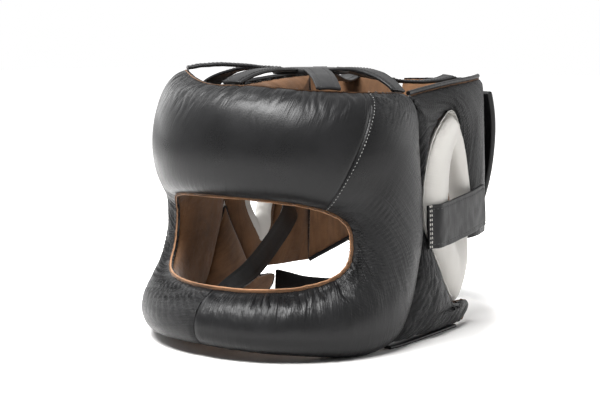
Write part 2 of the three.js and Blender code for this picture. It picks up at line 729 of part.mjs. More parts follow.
// Crown: flat straps from the top edges to a round pad
function buildCrown() {
  const half = crownPadThickness / 2;
  const edge = crownPadThickness * 0.3;
  const profile = [
    [0, -half], [crownPadRadius - edge, -half], [crownPadRadius, -half + edge],
    [crownPadRadius, half - edge], [crownPadRadius - edge, half], [0, half],
  ].map(([r, z]) => new THREE.Vector2(r, z));
  const pad = new THREE.LatheGeometry(profile, 28);
  pad.rotateX(Math.PI / 2).translate(0, crownCentreY, crownHeight);
  pad.deleteAttribute('uv');
  pad.deleteAttribute('normal');
  addMesh('crown_pad', facingOut(mergeVertices(pad, 1e-4)), 'leather');

  const topEdge = (angle, side) => {
    if (angle >= templeAngle) {
      return { angle, z: lerp(panelTopRear, backTop, (angle - cornerAngle) / (backAngle - cornerAngle)) };
    }
    const turn = [...Array(60).keys()].map((i) => (90 - i) * degree).find((t) => maskEdge(t).angle >= angle);
    return { angle, z: maskEdge(side === 'left' ? turn : Math.PI - turn).z };
  };
  const strapTo = ({ angle, arch }, side = 'left') => {
    const point = (offset) => {
      const p = topEdge(angle + offset, side);
      return wallPoint(p.angle, p.z + seatGap + crownStrap.thickness / 2, -crownStrap.hollow);
    };
    const start = point(0);
    const alongEdge = point(2).sub(point(angle === 0 ? 0 : -2)).normalize();
    const centre = new THREE.Vector3(0, crownCentreY, crownHeight);
    const away = start.clone().sub(centre).setZ(0).normalize();
    const end = centre.clone().addScaledVector(away, crownPadRadius + 2 * seatGap);
    const sideways = new THREE.Vector3(-away.y, away.x, 0);
    if (alongEdge.dot(sideways) < 0) alongEdge.negate();
    const steps = 9;
    const path = Array.from({ length: steps + 1 }, (_, i) => {
      const t = i / steps;
      const p = start.clone().lerp(end, t);
      p.z += arch * Math.sin(Math.PI * t);
      return p;
    });
    const widthAt = (i) => alongEdge.clone().lerp(sideways, Math.min(1, (3 * i) / steps));
    return strap(path, widthAt, crownStrap.width, crownStrap.thickness);
  };
  addMesh('crown_strap_front', strapTo(crownStraps.front), 'leather');
  for (const place of ['temple', 'side', 'rear']) {
    addMesh(`crown_strap_${place}_left`, strapTo(crownStraps[place], 'left'), 'leather');
    addMesh(`crown_strap_${place}_right`, mirrored(strapTo(crownStraps[place], 'right')), 'leather');
  }
}

// Chin straps: a long one that hangs across the neck opening, and a diagonal one on the right
function buildChinStraps() {
  const seat = seatGap + chinStrap.thickness / 2;
  const through = (points) => {
    const curve = new THREE.CatmullRomCurve3(points, false, 'centripetal');
    return Array.from({ length: 15 }, (_, i) => curve.getPoint(i / 14));
  };
  const flat = (path, widthAt, width) => strap(path, widthAt, width, chinStrap.thickness);

  const root = (y) => wallPoint(angleAt(y, longStrapLevel), longStrapLevel, -(cheekLiningBulge + seat));
  const across = [[52, -40, -2], [24, -36, -4], [4, -30, -4], [-9, -26, -4]];
  const long = through([
    root(longStrapRoot.rear), root(longStrapRoot.front),
    ...across.map(([x, y, z]) => new THREE.Vector3(x, y, longStrapLevel + z)),
  ]);
  addMesh('chin_strap_long', flat(long, () => new THREE.Vector3(0, 0, 1), chinStrap.width), 'leather');

  const { rearEnd, barEnd } = diagonalStrap;
  const onPanel = (y, z) => wallPoint(-angleAt(y, z), z, -(panelLiningBulge + seat + rearEnd.hollow));
  const onBar = (z) => wallPoint(-barEnd.angle, z, -(barLiningBulge + seat + barEnd.hollow));
  const hanging = diagonalStrap.hanging.map((p) => new THREE.Vector3(...p));
  const diagonal = through([
    onPanel(rearEnd.y, rearEnd.z), onPanel(rearEnd.y - 6, rearEnd.z - 12), ...hanging,
    onBar(barEnd.level + 12), onBar(barEnd.level),
  ]);
  const tangent = (angle, z) => wallPoint(angle + 1, z).sub(wallPoint(angle - 1, z)).normalize();
  const alongPanel = tangent(-angleAt(rearEnd.y, rearEnd.z), rearEnd.z).multiplyScalar(-0.5).setZ(-0.87);
  const alongBar = tangent(-barEnd.angle, barEnd.level);
  const turn = new THREE.Vector3(...diagonalStrap.turn);
  const turned = [alongPanel, alongPanel, ...hanging.map(() => turn), alongBar, alongBar];
  const facing = through(turned);
  addMesh('chin_strap_diagonal', flat(diagonal, (i) => facing[i], diagonalStrap.width), 'leather');
}

buildMask();
buildSides();
buildHems();
buildPiping();
buildBack();
buildSideStrap();
buildCrown();
buildChinStraps();

// Origin at the middle of the footprint, on the surface that the headgear stands on
const box = new THREE.Box3().setFromObject(group);
const centre = box.getCenter(new THREE.Vector3());
group.position.set(-centre.x, -centre.y, -box.min.z);

export default group;
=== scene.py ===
"""Boxing headgear with a face bar: its leather, lining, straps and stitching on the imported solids."""

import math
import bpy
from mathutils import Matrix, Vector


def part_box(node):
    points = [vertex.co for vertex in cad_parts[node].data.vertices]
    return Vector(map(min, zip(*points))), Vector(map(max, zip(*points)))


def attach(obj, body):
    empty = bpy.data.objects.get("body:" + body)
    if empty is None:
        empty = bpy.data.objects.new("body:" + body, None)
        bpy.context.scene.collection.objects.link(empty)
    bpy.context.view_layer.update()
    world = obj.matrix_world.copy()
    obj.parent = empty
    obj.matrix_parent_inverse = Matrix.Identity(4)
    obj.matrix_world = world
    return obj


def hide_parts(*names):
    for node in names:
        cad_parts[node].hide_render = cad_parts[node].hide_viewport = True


bl_info = {
    "name": "Boxing Headgear",
    "version": (1, 0, 0),
    "blender": (4, 5, 0),
    "location": "View3D > Sidebar > Headgear",
    "description": "Builds a padded leather boxing headgear with a bar across the face",
    "category": "Add Mesh",
}

import bmesh
import bpy
from mathutils import Matrix, Vector, noise

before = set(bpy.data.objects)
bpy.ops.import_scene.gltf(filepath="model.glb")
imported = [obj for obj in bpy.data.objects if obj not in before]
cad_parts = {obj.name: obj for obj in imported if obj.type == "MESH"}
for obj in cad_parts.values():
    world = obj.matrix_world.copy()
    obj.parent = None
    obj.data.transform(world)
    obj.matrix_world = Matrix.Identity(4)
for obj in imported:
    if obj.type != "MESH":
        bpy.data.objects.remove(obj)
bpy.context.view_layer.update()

MM = 0.001
SIDES = (("left", 1), ("right", -1))

# Head form and pieces, in millimetres and degrees, as in the solids
CHIN_WALL = {"z": 25, "side": 97, "front": 116, "rear": 127}
BROW_WALL = {"z": 115, "side": 94, "front": 101, "rear": 131}
CROWN_WALL = {"z": 200, "side": 90, "front": 90, "rear": 138}
FRONT_ROUNDNESS = 2.15
REAR_ROUNDNESS = 7
SEAM_GAP = 1.1
SEAT_GAP = 0.3

EYE = {"half_angle": 55, "middle": 79.5, "half_height": 33, "corner_drop": 3, "roundness": 3}
FOREHEAD_TOP = 191
TEMPLE_TOP = 184
RIM_RISE = {"from": 8, "left": -4, "right": 9}
TEMPLE_ANGLE = 89
CREASE_ANGLE = 95.5
BAR_UNDERSIDE = 7
CHEEK_UNDERSIDE = -0.5
BULGE = {"forehead": 23, "cheek": 16, "bar": 20}
LINING_BULGE = {"forehead": 11, "cheek": 13, "bar": 12}
SEAM_TURN = 54

CORNER_ANGLE = 145
PANEL_TOP_REAR = 192
PANEL_LOW_CORNER = {"left": 72, "right": 27}
PANEL_BULGE = 8
PANEL_LINING_BULGE = 9

GUARD = {"front": 14, "rear": 82, "crest": 56, "top": 167, "middle": 94, "foot": 60, "bottom": 20}
HOLE = {"front": 47, "rear": 68, "crest": 53, "top": 138, "middle": 86, "foot": 57, "bottom": 71}
GUARD_RIDGE = 12.2
GUARD_BACK = 9
GUARD_INNER = 8
GUARD_KNOTS = 13
CREST_KNOT = 3
FOOT_KNOT = 9

JAW_REAR = 81
JAW_REAR_HEIGHT = 21
JAW_BULGE = 12
JAW_LINING_BULGE = 8
HEM_HEIGHT = 2.6
HEM_WIDTH = 9
HEM_REAR = 60

BACK_GAP = 10
BACK_TOP = 190
BACK_BOTTOM = 75
BACK_BULGE = 5
BACK_LINING_BULGE = 9
FLAP_BOTTOM = 78
FLAP_TOP = 181
FLAP_BOW = 10
FLAP_ANGLE = 150.5
UNDERFLAP_OUTER = 9.1
UNDERFLAP_THICKNESS = 5
FLAP_BASE = 13.5
FLAP_THICKNESS = 5.5

SIDE_STRAP = {"front": 11, "rear": 90, "level": 85, "rise": 9, "width": 33, "thickness": 2.6}
PATCH_STACK = 4.1

CROWN_HEIGHT = 199
CROWN_CENTRE_Y = 6
CROWN_PAD_RADIUS = 30
CROWN_PAD_THICKNESS = 5
CROWN_STRAP_WIDTH = 18
CROWN_STRAP_THICKNESS = 2.4

CHIN_STRAP_WIDTH = 22
DIAGONAL_STRAP_WIDTH = 15
CHIN_STRAP_THICKNESS = 2.6
LONG_STRAP_ROOT = (-17, -28)
LONG_STRAP_LEVEL = 40

# Thickness of each sheet in millimetres
COVER_THICKNESS = 1.6
SUEDE_THICKNESS = 1.2
GUARD_THICKNESS = 1.4
GUARD_SUEDE_THICKNESS = 1.0
GUARD_MARGIN_THICKNESS = 0.7

# Stitches in metres: from one to the next, length, radius
SEAM_STITCH = (0.0027, 0.0015, 0.00032)
GUARD_STITCH = (0.0030, 0.0016, 0.00038)
FLAP_STITCH = (0.0036, 0.0024, 0.0004)
STRAP_STITCH = (0.0034, 0.0024, 0.0004)
STRAP_FRONT_STITCH = (0.0034, 0.0022, 0.0004)
CROWN_STITCH = (0.0032, 0.0022, 0.00035)

# The solids' origin is the middle of their box, which the crown pad's place gives
_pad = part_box("crown_pad")
ORIGIN_Y = (_pad[0].y + _pad[1].y) / 2 / MM - CROWN_CENTRE_Y
HEAD_AXIS = Vector((0, ORIGIN_Y, 0)) * MM


def lerp(a, b, t):
    return a + (b - a) * t


def blend(p, q, t):
    return (lerp(p[0], q[0], t), lerp(p[1], q[1], t))


def clamp(value, low=0.0, high=1.0):
    return max(low, min(high, value))


def smooth(low, high, value):
    t = clamp((value - low) / (high - low))
    return t * t * (3 - 2 * t)


def by_knots(value, knots):
    """Straight-line value between (place, value) knots in rising order."""
    if value <= knots[0][0]:
        return knots[0][1]
    for (x0, y0), (x1, y1) in zip(knots, knots[1:]):
        if value <= x1:
            return lerp(y0, y1, (value - x0) / (x1 - x0))
    return knots[-1][1]


def crown(t):
    return math.sqrt(max(0.0, 1 - (2 * t - 1) ** 2))


def signed_power(value, power):
    return math.copysign(abs(value) ** power, value)


def wall_size(key, z):
    a, b, c = CHIN_WALL, BROW_WALL, CROWN_WALL
    near_chin = (z - b["z"]) * (z - c["z"]) / ((a["z"] - b["z"]) * (a["z"] - c["z"]))
    near_brow = (z - a["z"]) * (z - c["z"]) / ((b["z"] - a["z"]) * (b["z"] - c["z"]))
    near_crown = (z - a["z"]) * (z - b["z"]) / ((c["z"] - a["z"]) * (c["z"] - b["z"]))
    return a[key] * near_chin + b[key] * near_brow + c[key] * near_crown


def plan_point(angle, z):
    """Place on the head form's plan: angle 0 is the face, 90 the wearer's left, 180 the back."""
    s, c = math.sin(math.radians(angle)), math.cos(math.radians(angle))
    ahead = c > 0
    n = FRONT_ROUNDNESS if ahead else REAR_ROUNDNESS
    reach = wall_size("front" if ahead else "rear", z)
    r = (abs(s / wall_size("side", z)) ** n + abs(c / reach) ** n) ** (-1 / n)
    return r * s, -r * c


def wall_tangent(angle, z, step=0.2):
    ax, ay = plan_point(angle - step, z)
    bx, by = plan_point(angle + step, z)
    length = math.hypot(bx - ax, by - ay)
    return (bx - ax) / length, (by - ay) / length


def wall_point(angle, z, out=0.0):
    """Point in millimetres, out millimetres outside the head form's wall."""
    x, y = plan_point(angle, z)
    tx, ty = wall_tangent(angle, z)
    return Vector((x + ty * out, y - tx * out + ORIGIN_Y, z))


def angle_at(y, z):
    low, high = 20.0, 178.0
    for _ in range(40):
        middle = (low + high) / 2
        if plan_point(middle, z)[1] < y:
            low = middle
        else:
            high = middle
    return (low + high) / 2


def side_point(y, z):
    return (angle_at(y, z), z)


def spline(points, closed=False):
    """Centripetal Catmull-Rom curve through the points, for a share from 0 to 1."""
    knots = [Vector(p) for p in points]
    count = len(knots)

    def knot(i):
        if closed:
            return knots[i % count]
        if i < 0:
            return knots[0] * 2 - knots[1]
        if i >= count:
            return knots[-1] * 2 - knots[-2]
        return knots[i]

    def at(share):
        place = (count if closed else count - 1) * share
        i = math.floor(place)
        if not closed:
            i = max(0, min(count - 2, i))
        w = place - i
        p0, p1, p2, p3 = (knot(i + k) for k in (-1, 0, 1, 2))
        d0, d1, d2 = ((q - p).length ** 0.5 for p, q in ((p0, p1), (p1, p2), (p2, p3)))
        d1 = d1 if d1 > 1e-4 else 1.0
        d0 = d0 if d0 > 1e-4 else d1
        d2 = d2 if d2 > 1e-4 else d1
        m1 = ((p1 - p0) / d0 - (p2 - p0) / (d0 + d1) + (p2 - p1) / d1) * d1
        m2 = ((p2 - p1) / d1 - (p3 - p1) / (d1 + d2) + (p3 - p2) / d2) * d1
        c2 = (p2 - p1) * 3 - m1 * 2 - m2
        c3 = (p1 - p2) * 2 + m1 + m2
        return p1 + m1 * w + c2 * (w * w) + c3 * (w * w * w)

    return at


def eye_edge(turn):
    """Edge of the eye opening: turn is 90 at the forehead, 0 at the wearer's left, -90 at the bar."""
    turn = math.radians(turn)
    turn -= 0.15 * math.sin(2 * turn)
    power = 2 / EYE["roundness"]
    angle = EYE["half_angle"] * signed_power(math.cos(turn), power)
    rise = signed_power(math.sin(turn), power)
    drop = EYE["corner_drop"] * (angle / EYE["half_angle"]) ** 2 * rise if rise > 0 else 0
    return (angle, EYE["middle"] + EYE["half_height"] * rise - drop)


def cheek_height(share):
    return lerp(CHEEK_UNDERSIDE, TEMPLE_TOP, share)


mask_half = spline(
    [
        (-25, FOREHEAD_TOP),
        (0, FOREHEAD_TOP),
        (25, FOREHEAD_TOP),
        (50, FOREHEAD_TOP),
        (72, lerp(FOREHEAD_TOP, TEMPLE_TOP, 0.6)),
        (TEMPLE_ANGLE, TEMPLE_TOP - 2),
        (lerp(TEMPLE_ANGLE, CREASE_ANGLE, 0.6), cheek_height(0.825)),
        (lerp(TEMPLE_ANGLE, CREASE_ANGLE, 0.9), cheek_height(0.64)),
        (CREASE_ANGLE, cheek_height(0.46)),
        (CREASE_ANGLE - 5, cheek_height(0.305)),
        (CREASE_ANGLE - 11.5, cheek_height(0.155)),
        (CREASE_ANGLE - 21.5, cheek_height(0.04)),
        (CREASE_ANGLE - 37, CHEEK_UNDERSIDE),
        (30, lerp(BAR_UNDERSIDE, CHEEK_UNDERSIDE, 0.4)),
        (0, BAR_UNDERSIDE),
        (-30, lerp(BAR_UNDERSIDE, CHEEK_UNDERSIDE, 0.4)),
    ]
)


def rim_lift(angle, side):
    share = clamp((angle - RIM_RISE["from"]) / (TEMPLE_ANGLE - RIM_RISE["from"]))
    return RIM_RISE[side] * math.sin(math.pi * share) ** 2


def mask_edge(turn):
    left = math.cos(math.radians(turn)) >= 0
    upward = clamp(math.sin(math.radians(turn)), -1, 1)
    p = mask_half(lerp(1 / 15, 14 / 15, (math.pi / 2 - math.asin(upward)) / math.pi))
    lift = rim_lift(p.x, "left" if left else "right") if upward > 0 else 0
    return (p.x if left else -p.x, p.y + lift)


def mask_swell(turn, bulge):
    up = max(0.0, math.sin(math.radians(turn))) ** 1.5
    down = max(0.0, -math.sin(math.radians(turn))) ** 1.5
    cheek = bulge["cheek"]
    return cheek + (bulge["forehead"] - cheek) * up + (bulge["bar"] - cheek) * down


def shifted(p, along, up=0.0):
    reach = math.hypot(*plan_point(*p))
    return (p[0] + math.degrees(along / reach), p[1] + up)


def crease_edge(knot, away=SEAM_GAP):
    return shifted(mask_edge(90 - 180 * (knot - 1) / 13), away)


def teardrop(d, margin):
    """Teardrop outline in the side wall, for a knot from 0 at the middle of the front edge."""
    high, low = d["top"] - d["middle"], d["middle"] - d["bottom"]
    front, rear = d["front"] - margin, d["rear"] + margin
    top, bottom = d["top"] + margin, d["bottom"] - margin
    crest, foot, middle = d["crest"], d["foot"], d["middle"]
    places = [
        (front, middle),
        (lerp(front, crest, 0.06), middle + high * 0.38),
        (lerp(front, crest, 0.36), middle + high * 0.76),
        (crest, top),
        (lerp(rear, crest, 0.52), middle + high * 0.78),
        (lerp(rear, crest, 0.19), middle + high * 0.42),
        (rear, middle + high * 0.06),
        (lerp(rear, foot, 0.3), middle - low * 0.36),
        (lerp(rear, foot, 0.35), middle - low * 0.72),
        (foot + margin * 0.5, bottom),
        (lerp(foot, front, 0.22) - margin * 0.4, middle - low * 0.88),
        (lerp(foot, front, 0.56) - margin * 0.4, middle - low * 0.55),
        (lerp(foot, front, 0.86) - margin * 0.3, middle - low * 0.24),
    ]
    path = spline([side_point(y, z) for y, z in places], closed=True)

    def at(knot):
        p = path((knot / len(places)) % 1)
        return (p.x, p.y)

    return at


def creases(x, y, seed, narrow=2.2):
    """0 to 1: leather creases that run along y and follow each other along x."""
    return max(0.0, 1 - narrow * abs(noise.noise(Vector((x, y, seed))))) ** 2


def lumps(x, y, seed):
    return noise.noise(Vector((x, y, seed)))


class Band:
    """Strip of the head form between two edges, cut into rows, with running lengths for its pattern."""

    def __init__(self, inner, outer, rows):
        self.rows = rows
        self.edges = []
        run_in = run_out = 0.0
        before = None
        for i in range(rows + 1):
            a, b = inner(i / rows), outer(i / rows)
            pair = wall_point(*a), wall_point(*b)
            if before:
                run_in += (pair[0] - before[0]).length
                run_out += (pair[1] - before[1]).length
            self.edges.append((a, b, (pair[0] - pair[1]).length, run_in, run_out))
            before = pair

    def width(self, u):
        return self.edges[round(u * self.rows)][2]

    def spot(self, u, t, height):
        a, b, width, run_in, run_out = self.edges[round(u * self.rows)]
        return wall_point(*blend(a, b, t), height), (lerp(run_in, run_out, t), t * width)

    def length(self, t):
        return lerp(self.edges[-1][3], self.edges[-1][4], t)


def shape_grid(rows, columns, place, fold=None, merged=False):
    """Grid bent to place(u, v) -> (point, pattern point), with fold's depths kept for push_folds to push
    along its normals.

    fold(u, v, point, pattern) gives a depth in millimetres and how hard the leather is pulled there.
    """
    mesh = bmesh.new()
    pattern_layer = mesh.loops.layers.uv.new("surface")
    depth_layer = mesh.verts.layers.float.new("depth")
    pull_layer = mesh.verts.layers.float.new("pull")
    bmesh.ops.create_grid(mesh, x_segments=rows, y_segments=columns, size=0.5)
    patterns = []
    for vert in mesh.verts:
        u, v = vert.co.x + 0.5, vert.co.y + 0.5
        point, pattern = place(u, v)
        if fold:
            vert[depth_layer], vert[pull_layer] = fold(u, v, point, pattern)
        vert.co = point * MM
        patterns.append((pattern[0] * MM, pattern[1] * MM))
    mesh.verts.index_update()
    for face in mesh.faces:
        for corner in face.loops:
            corner[pattern_layer].uv = patterns[corner.vert.index]
    if merged:
        bmesh.ops.remove_doubles(mesh, verts=mesh.verts[:], dist=1e-6)
    mesh.normal_update()
    return mesh


def face_to(mesh, toward):
    """Turns the faces over if most of them look away from toward(point)."""
    total = sum(f.normal.dot(toward(f.calc_center_median())) * f.calc_area() for f in mesh.faces)
    if total < 0:
        bmesh.ops.reverse_faces(mesh, faces=mesh.faces[:])
    mesh.normal_update()


def outward(point):
    return Vector((point.x - HEAD_AXIS.x, point.y - HEAD_AXIS.y, 0))


def inward(point):
    return -outward(point)


def push_folds(mesh):
    layer = mesh.verts.layers.float["depth"]
    moves = [(v, v.normal * (v[layer] * MM)) for v in mesh.verts]
    for vert, move in moves:
        vert.co += move
    mesh.verts.layers.float.remove(layer)
    mesh.normal_update()


def mirror_mesh(mesh):
    bmesh.ops.scale(mesh, vec=(-1, 1, 1), verts=mesh.verts[:])
    bmesh.ops.reverse_faces(mesh, faces=mesh.faces[:])
    mesh.normal_update()


def settle(mesh, toward, sign=1):
    """Faces the sheet towards toward(point), pushes its folds and mirrors it for the right side."""
    face_to(mesh, toward)
    push_folds(mesh)
    if sign < 0:
        mirror_mesh(mesh)


def close_ends(mesh, sign):
    """Closes the open ends of a tube and mirrors it for the right side."""
    bmesh.ops.holes_fill(mesh, edges=[e for e in mesh.edges if e.is_boundary], sides=0)
    bmesh.ops.recalc_face_normals(mesh, faces=mesh.faces[:])
    push_folds(mesh)
    if sign < 0:
        mirror_mesh(mesh)


def thicken(mesh, thickness):
    """Gives the sheet a wall behind its faces, thickness in millimetres."""
    back = [(v, v.normal * (thickness * MM)) for v in mesh.verts]
    bmesh.ops.extrude_face_region(mesh, geom=mesh.faces[:], use_keep_orig=True)
    for vert, move in back:
        vert.co -= move
    bmesh.ops.recalc_face_normals(mesh, faces=mesh.faces[:])


def round_edges(mesh, radius, segments):
    """Rounds the sheet's rim, radius in millimetres."""
    sharp = [e for e in mesh.edges if len(e.link_faces) == 2 and e.calc_face_angle() > math.radians(60)]
    bmesh.ops.bevel(mesh, geom=sharp, offset=radius * MM, offset_type="OFFSET", segments=segments,
                    profile=0.5, affect="EDGES", material=-1, clamp_overlap=True)


def grid_line(mesh, rows, columns, u=None, v=None):
    """Points and normals along one row or column of an unmerged grid."""
    mesh.verts.ensure_lookup_table()
    if u is not None:
        i = round(u * rows)
        picked = [j * (rows + 1) + i for j in range(columns + 1)]
    else:
        j = round(v * columns)
        picked = [j * (rows + 1) + i for i in range(rows + 1)]
    return [(mesh.verts[k].co.copy(), mesh.verts[k].normal.copy()) for k in picked]


def finish_piece(name, mesh, material, body, slot, replaces=(), sharp=50):
    data = bpy.data.meshes.new(name)
    mesh.to_mesh(data)
    mesh.free()
    for polygon in data.polygons:
        polygon.use_smooth = True
    data.set_sharp_from_angle(angle=math.radians(sharp))
    data.materials.append(material)
    piece = bpy.data.objects.new(name, data)
    bpy.context.scene.collection.objects.link(piece)
    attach(piece, body)
    if replaces:
        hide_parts(*replaces)
    return piece


def add_stitches(mesh, line, stitch, lift, uneven):
    """Short threads along a line of (point, normal), sizes in metres. Uneven ones vary in depth."""
    spacing, length, radius = stitch
    gone, wanted = 0.0, spacing / 2
    for (p, n), (q, _) in zip(line, line[1:]):
        step = (q - p).length
        while step > 0 and wanted <= gone + step:
            along = (q - p) / step
            middle = p + along * (wanted - gone) + n * lift
            middle -= n * (uneven * radius * (1 + noise.noise(middle * 700)))
            side = n.cross(along).normalized()
            turn = Matrix((along, side, n)).transposed().to_4x4()
            size = Matrix.Diagonal((length / 2, radius, radius, 1))
            bmesh.ops.create_uvsphere(
                mesh, u_segments=8, v_segments=5, radius=1.0,
                matrix=Matrix.Translation(middle) @ turn @ size,
            )
            wanted += spacing
        gone += step


def stitch_piece(name, lines, stitch, material, body, slot="black_leather", lift=0.0, uneven=0.0):
    mesh = bmesh.new()
    for line in lines:
        add_stitches(mesh, line, stitch, lift, uneven)
    finish_piece(name, mesh, material, body, slot)


def tube_place(path, radius, sideways=None):
    """Place function of a round tube along path(u) in millimetres, radius(u, turn) in millimetres."""

    def place(u, v):
        step = 0.002
        centre = path(u)
        ahead = (path(u + step) - path(u - step)).normalized()
        side = (sideways(u) if sideways else Vector((0, 0, 1))).cross(ahead).normalized()
        up = ahead.cross(side)
        turn = 2 * math.pi * v
        r = radius(u, v)
        return centre + (side * math.cos(turn) + up * math.sin(turn)) * r, (u * 300, v * 6.3 * r)

    return place


class Value:
    """A node's output. Arithmetic on it adds Math nodes."""

    def __init__(self, shader, socket):
        self.shader = shader
        self.socket = socket

    def _math(self, operation, first, second):
        return self.shader.node("ShaderNodeMath", {"operation": operation}, {0: first, 1: second})

    def __add__(self, other):
        return self._math("ADD", self, other)

    __radd__ = __add__

    def __sub__(self, other):
        return self._math("SUBTRACT", self, other)

    def __rsub__(self, other):
        return self._math("SUBTRACT", other, self)

    def __mul__(self, other):
        return self._math("MULTIPLY", self, other)

    __rmul__ = __mul__

    def __abs__(self):
        return self._math("ABSOLUTE", self, 0.0)

    def at_least(self, other):
        return self._math("MAXIMUM", self, other)


class Shader:
    """A material's nodes, round one Principled BSDF."""

    def __init__(self, name):
        self.material = bpy.data.materials.new(name)
        self.material.use_nodes = True
        self.tree = self.material.node_tree
        self.bsdf = self.tree.nodes["Principled BSDF"]

    def node(self, kind, settings=None, inputs=None, output=0):
        made = self.tree.nodes.new(kind)
        for key, value in (settings or {}).items():
            setattr(made, key, value)
        for key, value in (inputs or {}).items():
            self.put(made.inputs[key], value)
        return Value(self, made.outputs[output])

    def put(self, socket, value):
        if isinstance(value, Value):
            self.tree.links.new(value.socket, socket)
        else:
            socket.default_value = value

    def constants(self, values):
        for key, value in values.items():
            self.bsdf.inputs[key].default_value = value

    def surface(self, **inputs):
        for key, value in inputs.items():
            self.put(self.bsdf.inputs[key.replace("_", " ").title()], value)
        return self.material

    def place(self, scale, pattern=False):
        """Object coordinates, or the piece's pattern coordinates, times scale."""
        source = self.node("ShaderNodeTexCoord", output="UV" if pattern else "Object")
        return self.node("ShaderNodeVectorMath", {"operation": "MULTIPLY"}, {0: source, 1: scale})

    def noise(self, scale, pattern=False, detail=3.0, roughness=0.55):
        where = self.place(scale, pattern)
        return self.node("ShaderNodeTexNoise", None, {"Vector": where, "Scale": 1.0, "Detail": detail,
                                                      "Roughness": roughness})

    def cells(self, scale):
        where = self.place((scale, scale, scale))
        return self.node("ShaderNodeTexVoronoi", {"feature": "F1"}, {"Vector": where, "Scale": 1.0})

    def range(self, value, low, high, out_low=0.0, out_high=1.0):
        return self.node("ShaderNodeMapRange", {"interpolation_type": "SMOOTHSTEP"}, {
            "Value": value, "From Min": low, "From Max": high, "To Min": out_low, "To Max": out_high})

    def mix(self, factor, first, second):
        made = self.tree.nodes.new("ShaderNodeMix")
        made.data_type = "RGBA"
        self.put(made.inputs[0], factor)
        self.put(made.inputs[6], first)
        self.put(made.inputs[7], second)
        return Value(self, made.outputs[2])

    def bump(self, height):
        return self.node("ShaderNodeBump", None, {"Height": height, "Distance": MM, "Strength": 1.0})

    def pull(self):
        return self.node("ShaderNodeAttribute", {"attribute_name": "pull"}, output="Fac")


def rgba(colour, factor=1.0):
    return (colour[0] * factor, colour[1] * factor, colour[2] * factor, 1.0)


def made_once(make):
    """The material is made at its first use and found by its name afterwards."""

    def get(name, *args, **settings):
        return bpy.data.materials.get(name) or make(Shader(name), *args, **settings)

    return get


@made_once
def leather(shader, colour, gloss=0.4, fine=1.0, wrinkles=1.0, shine=0.18, coat=0.04, light=1.7):
    """Smooth cowhide: pores, fine wrinkles across the pull, and a soft sheen that varies."""
    pores = shader.cells(1150.0)
    grain = shader.noise((900.0, 900.0, 900.0), detail=2.0)
    patches = shader.noise((28.0, 28.0, 28.0), detail=2.0)
    pull = shader.pull()
    lines = shader.noise((520.0, 48.0, 1.0), pattern=True, detail=3.0, roughness=0.5)
    ridges = 1.0 - abs(lines - 0.5) * 5.0
    height = pores * (0.03 * fine) + grain * (0.025 * fine) - ridges.at_least(0.0) * pull * (0.5 * wrinkles)
    shade = shader.range(patches + grain * 0.25, 0.4, 0.85)
    shader.surface(
        base_color=shader.mix(shade, rgba(colour), rgba(colour, light)),
        roughness=shader.range(patches + pores * 0.3, 0.35, 0.95, gloss - 0.05, gloss + 0.12),
        normal=shader.bump(height),
    )
    shader.constants({"Specular IOR Level": shine, "Coat Weight": coat, "Coat Roughness": 0.3})
    return shader.material


@made_once
def suede(shader, colour):
    """Napped suede: short fibres, cloudy tone and no gloss."""
    nap = shader.noise((1500.0, 1500.0, 1500.0), detail=2.0)
    clouds = shader.noise((24.0, 24.0, 24.0), detail=4.0, roughness=0.6)
    streaks = shader.noise((260.0, 40.0, 1.0), pattern=True, detail=3.0)
    tone = shader.range(clouds * 0.7 + streaks * 0.3 + nap * 0.2, 0.4, 0.8)
    shader.surface(
        base_color=shader.mix(tone, rgba(colour, 0.6), rgba(colour, 1.35)),
        roughness=shader.range(nap, 0.3, 0.7, 0.85, 0.98),
        normal=shader.bump(nap * 0.25 + streaks * 0.25),
    )
    shader.constants({"Specular IOR Level": 0.2, "Sheen Weight": 0.15, "Sheen Roughness": 0.5})
    return shader.material


@made_once
def thread(shader, colour):
    twist = shader.noise((2600.0, 2600.0, 2600.0), detail=1.0)
    shader.surface(base_color=shader.mix(twist, rgba(colour, 0.75), rgba(colour)), roughness=0.7,
                   normal=shader.bump(twist * 0.15))
    return shader.material


@made_once
def tape(shader, colour):
    """Hook-and-loop tape: rows of small tufts."""
    tufts = shader.cells(700.0)
    shader.surface(base_color=shader.mix(tufts, rgba(colour, 2.0), rgba(colour, 0.5)), roughness=0.95,
                   normal=shader.bump(tufts * 0.6))
    return shader.material


def colours():
    return bpy.context.scene.headgear_colours


def sizes():
    return bpy.context.scene.headgear_sizes


def black_leather():
    return leather("black leather", colours().black, gloss=0.31)


def panel_leather():
    return leather("soft black leather", colours().black, gloss=0.4, wrinkles=1.4, coat=0.05)


def strap_leather():
    return leather("strap leather", colours().black, gloss=0.4, wrinkles=0.3, shine=0.2, coat=0.03)


def white_leather():
    return leather("white leather", colours().white, gloss=0.5, fine=0.6, wrinkles=0.5, shine=0.4, coat=0.02,
                   light=1.04)


def brown_suede():
    return suede("brown suede", colours().suede)


def tan_edge():
    return suede("tan suede edge", colours().edge)


def black_thread():
    return thread("black thread", (0.02, 0.02, 0.02))


def grey_thread():
    return thread("grey thread", (0.3, 0.3, 0.29))


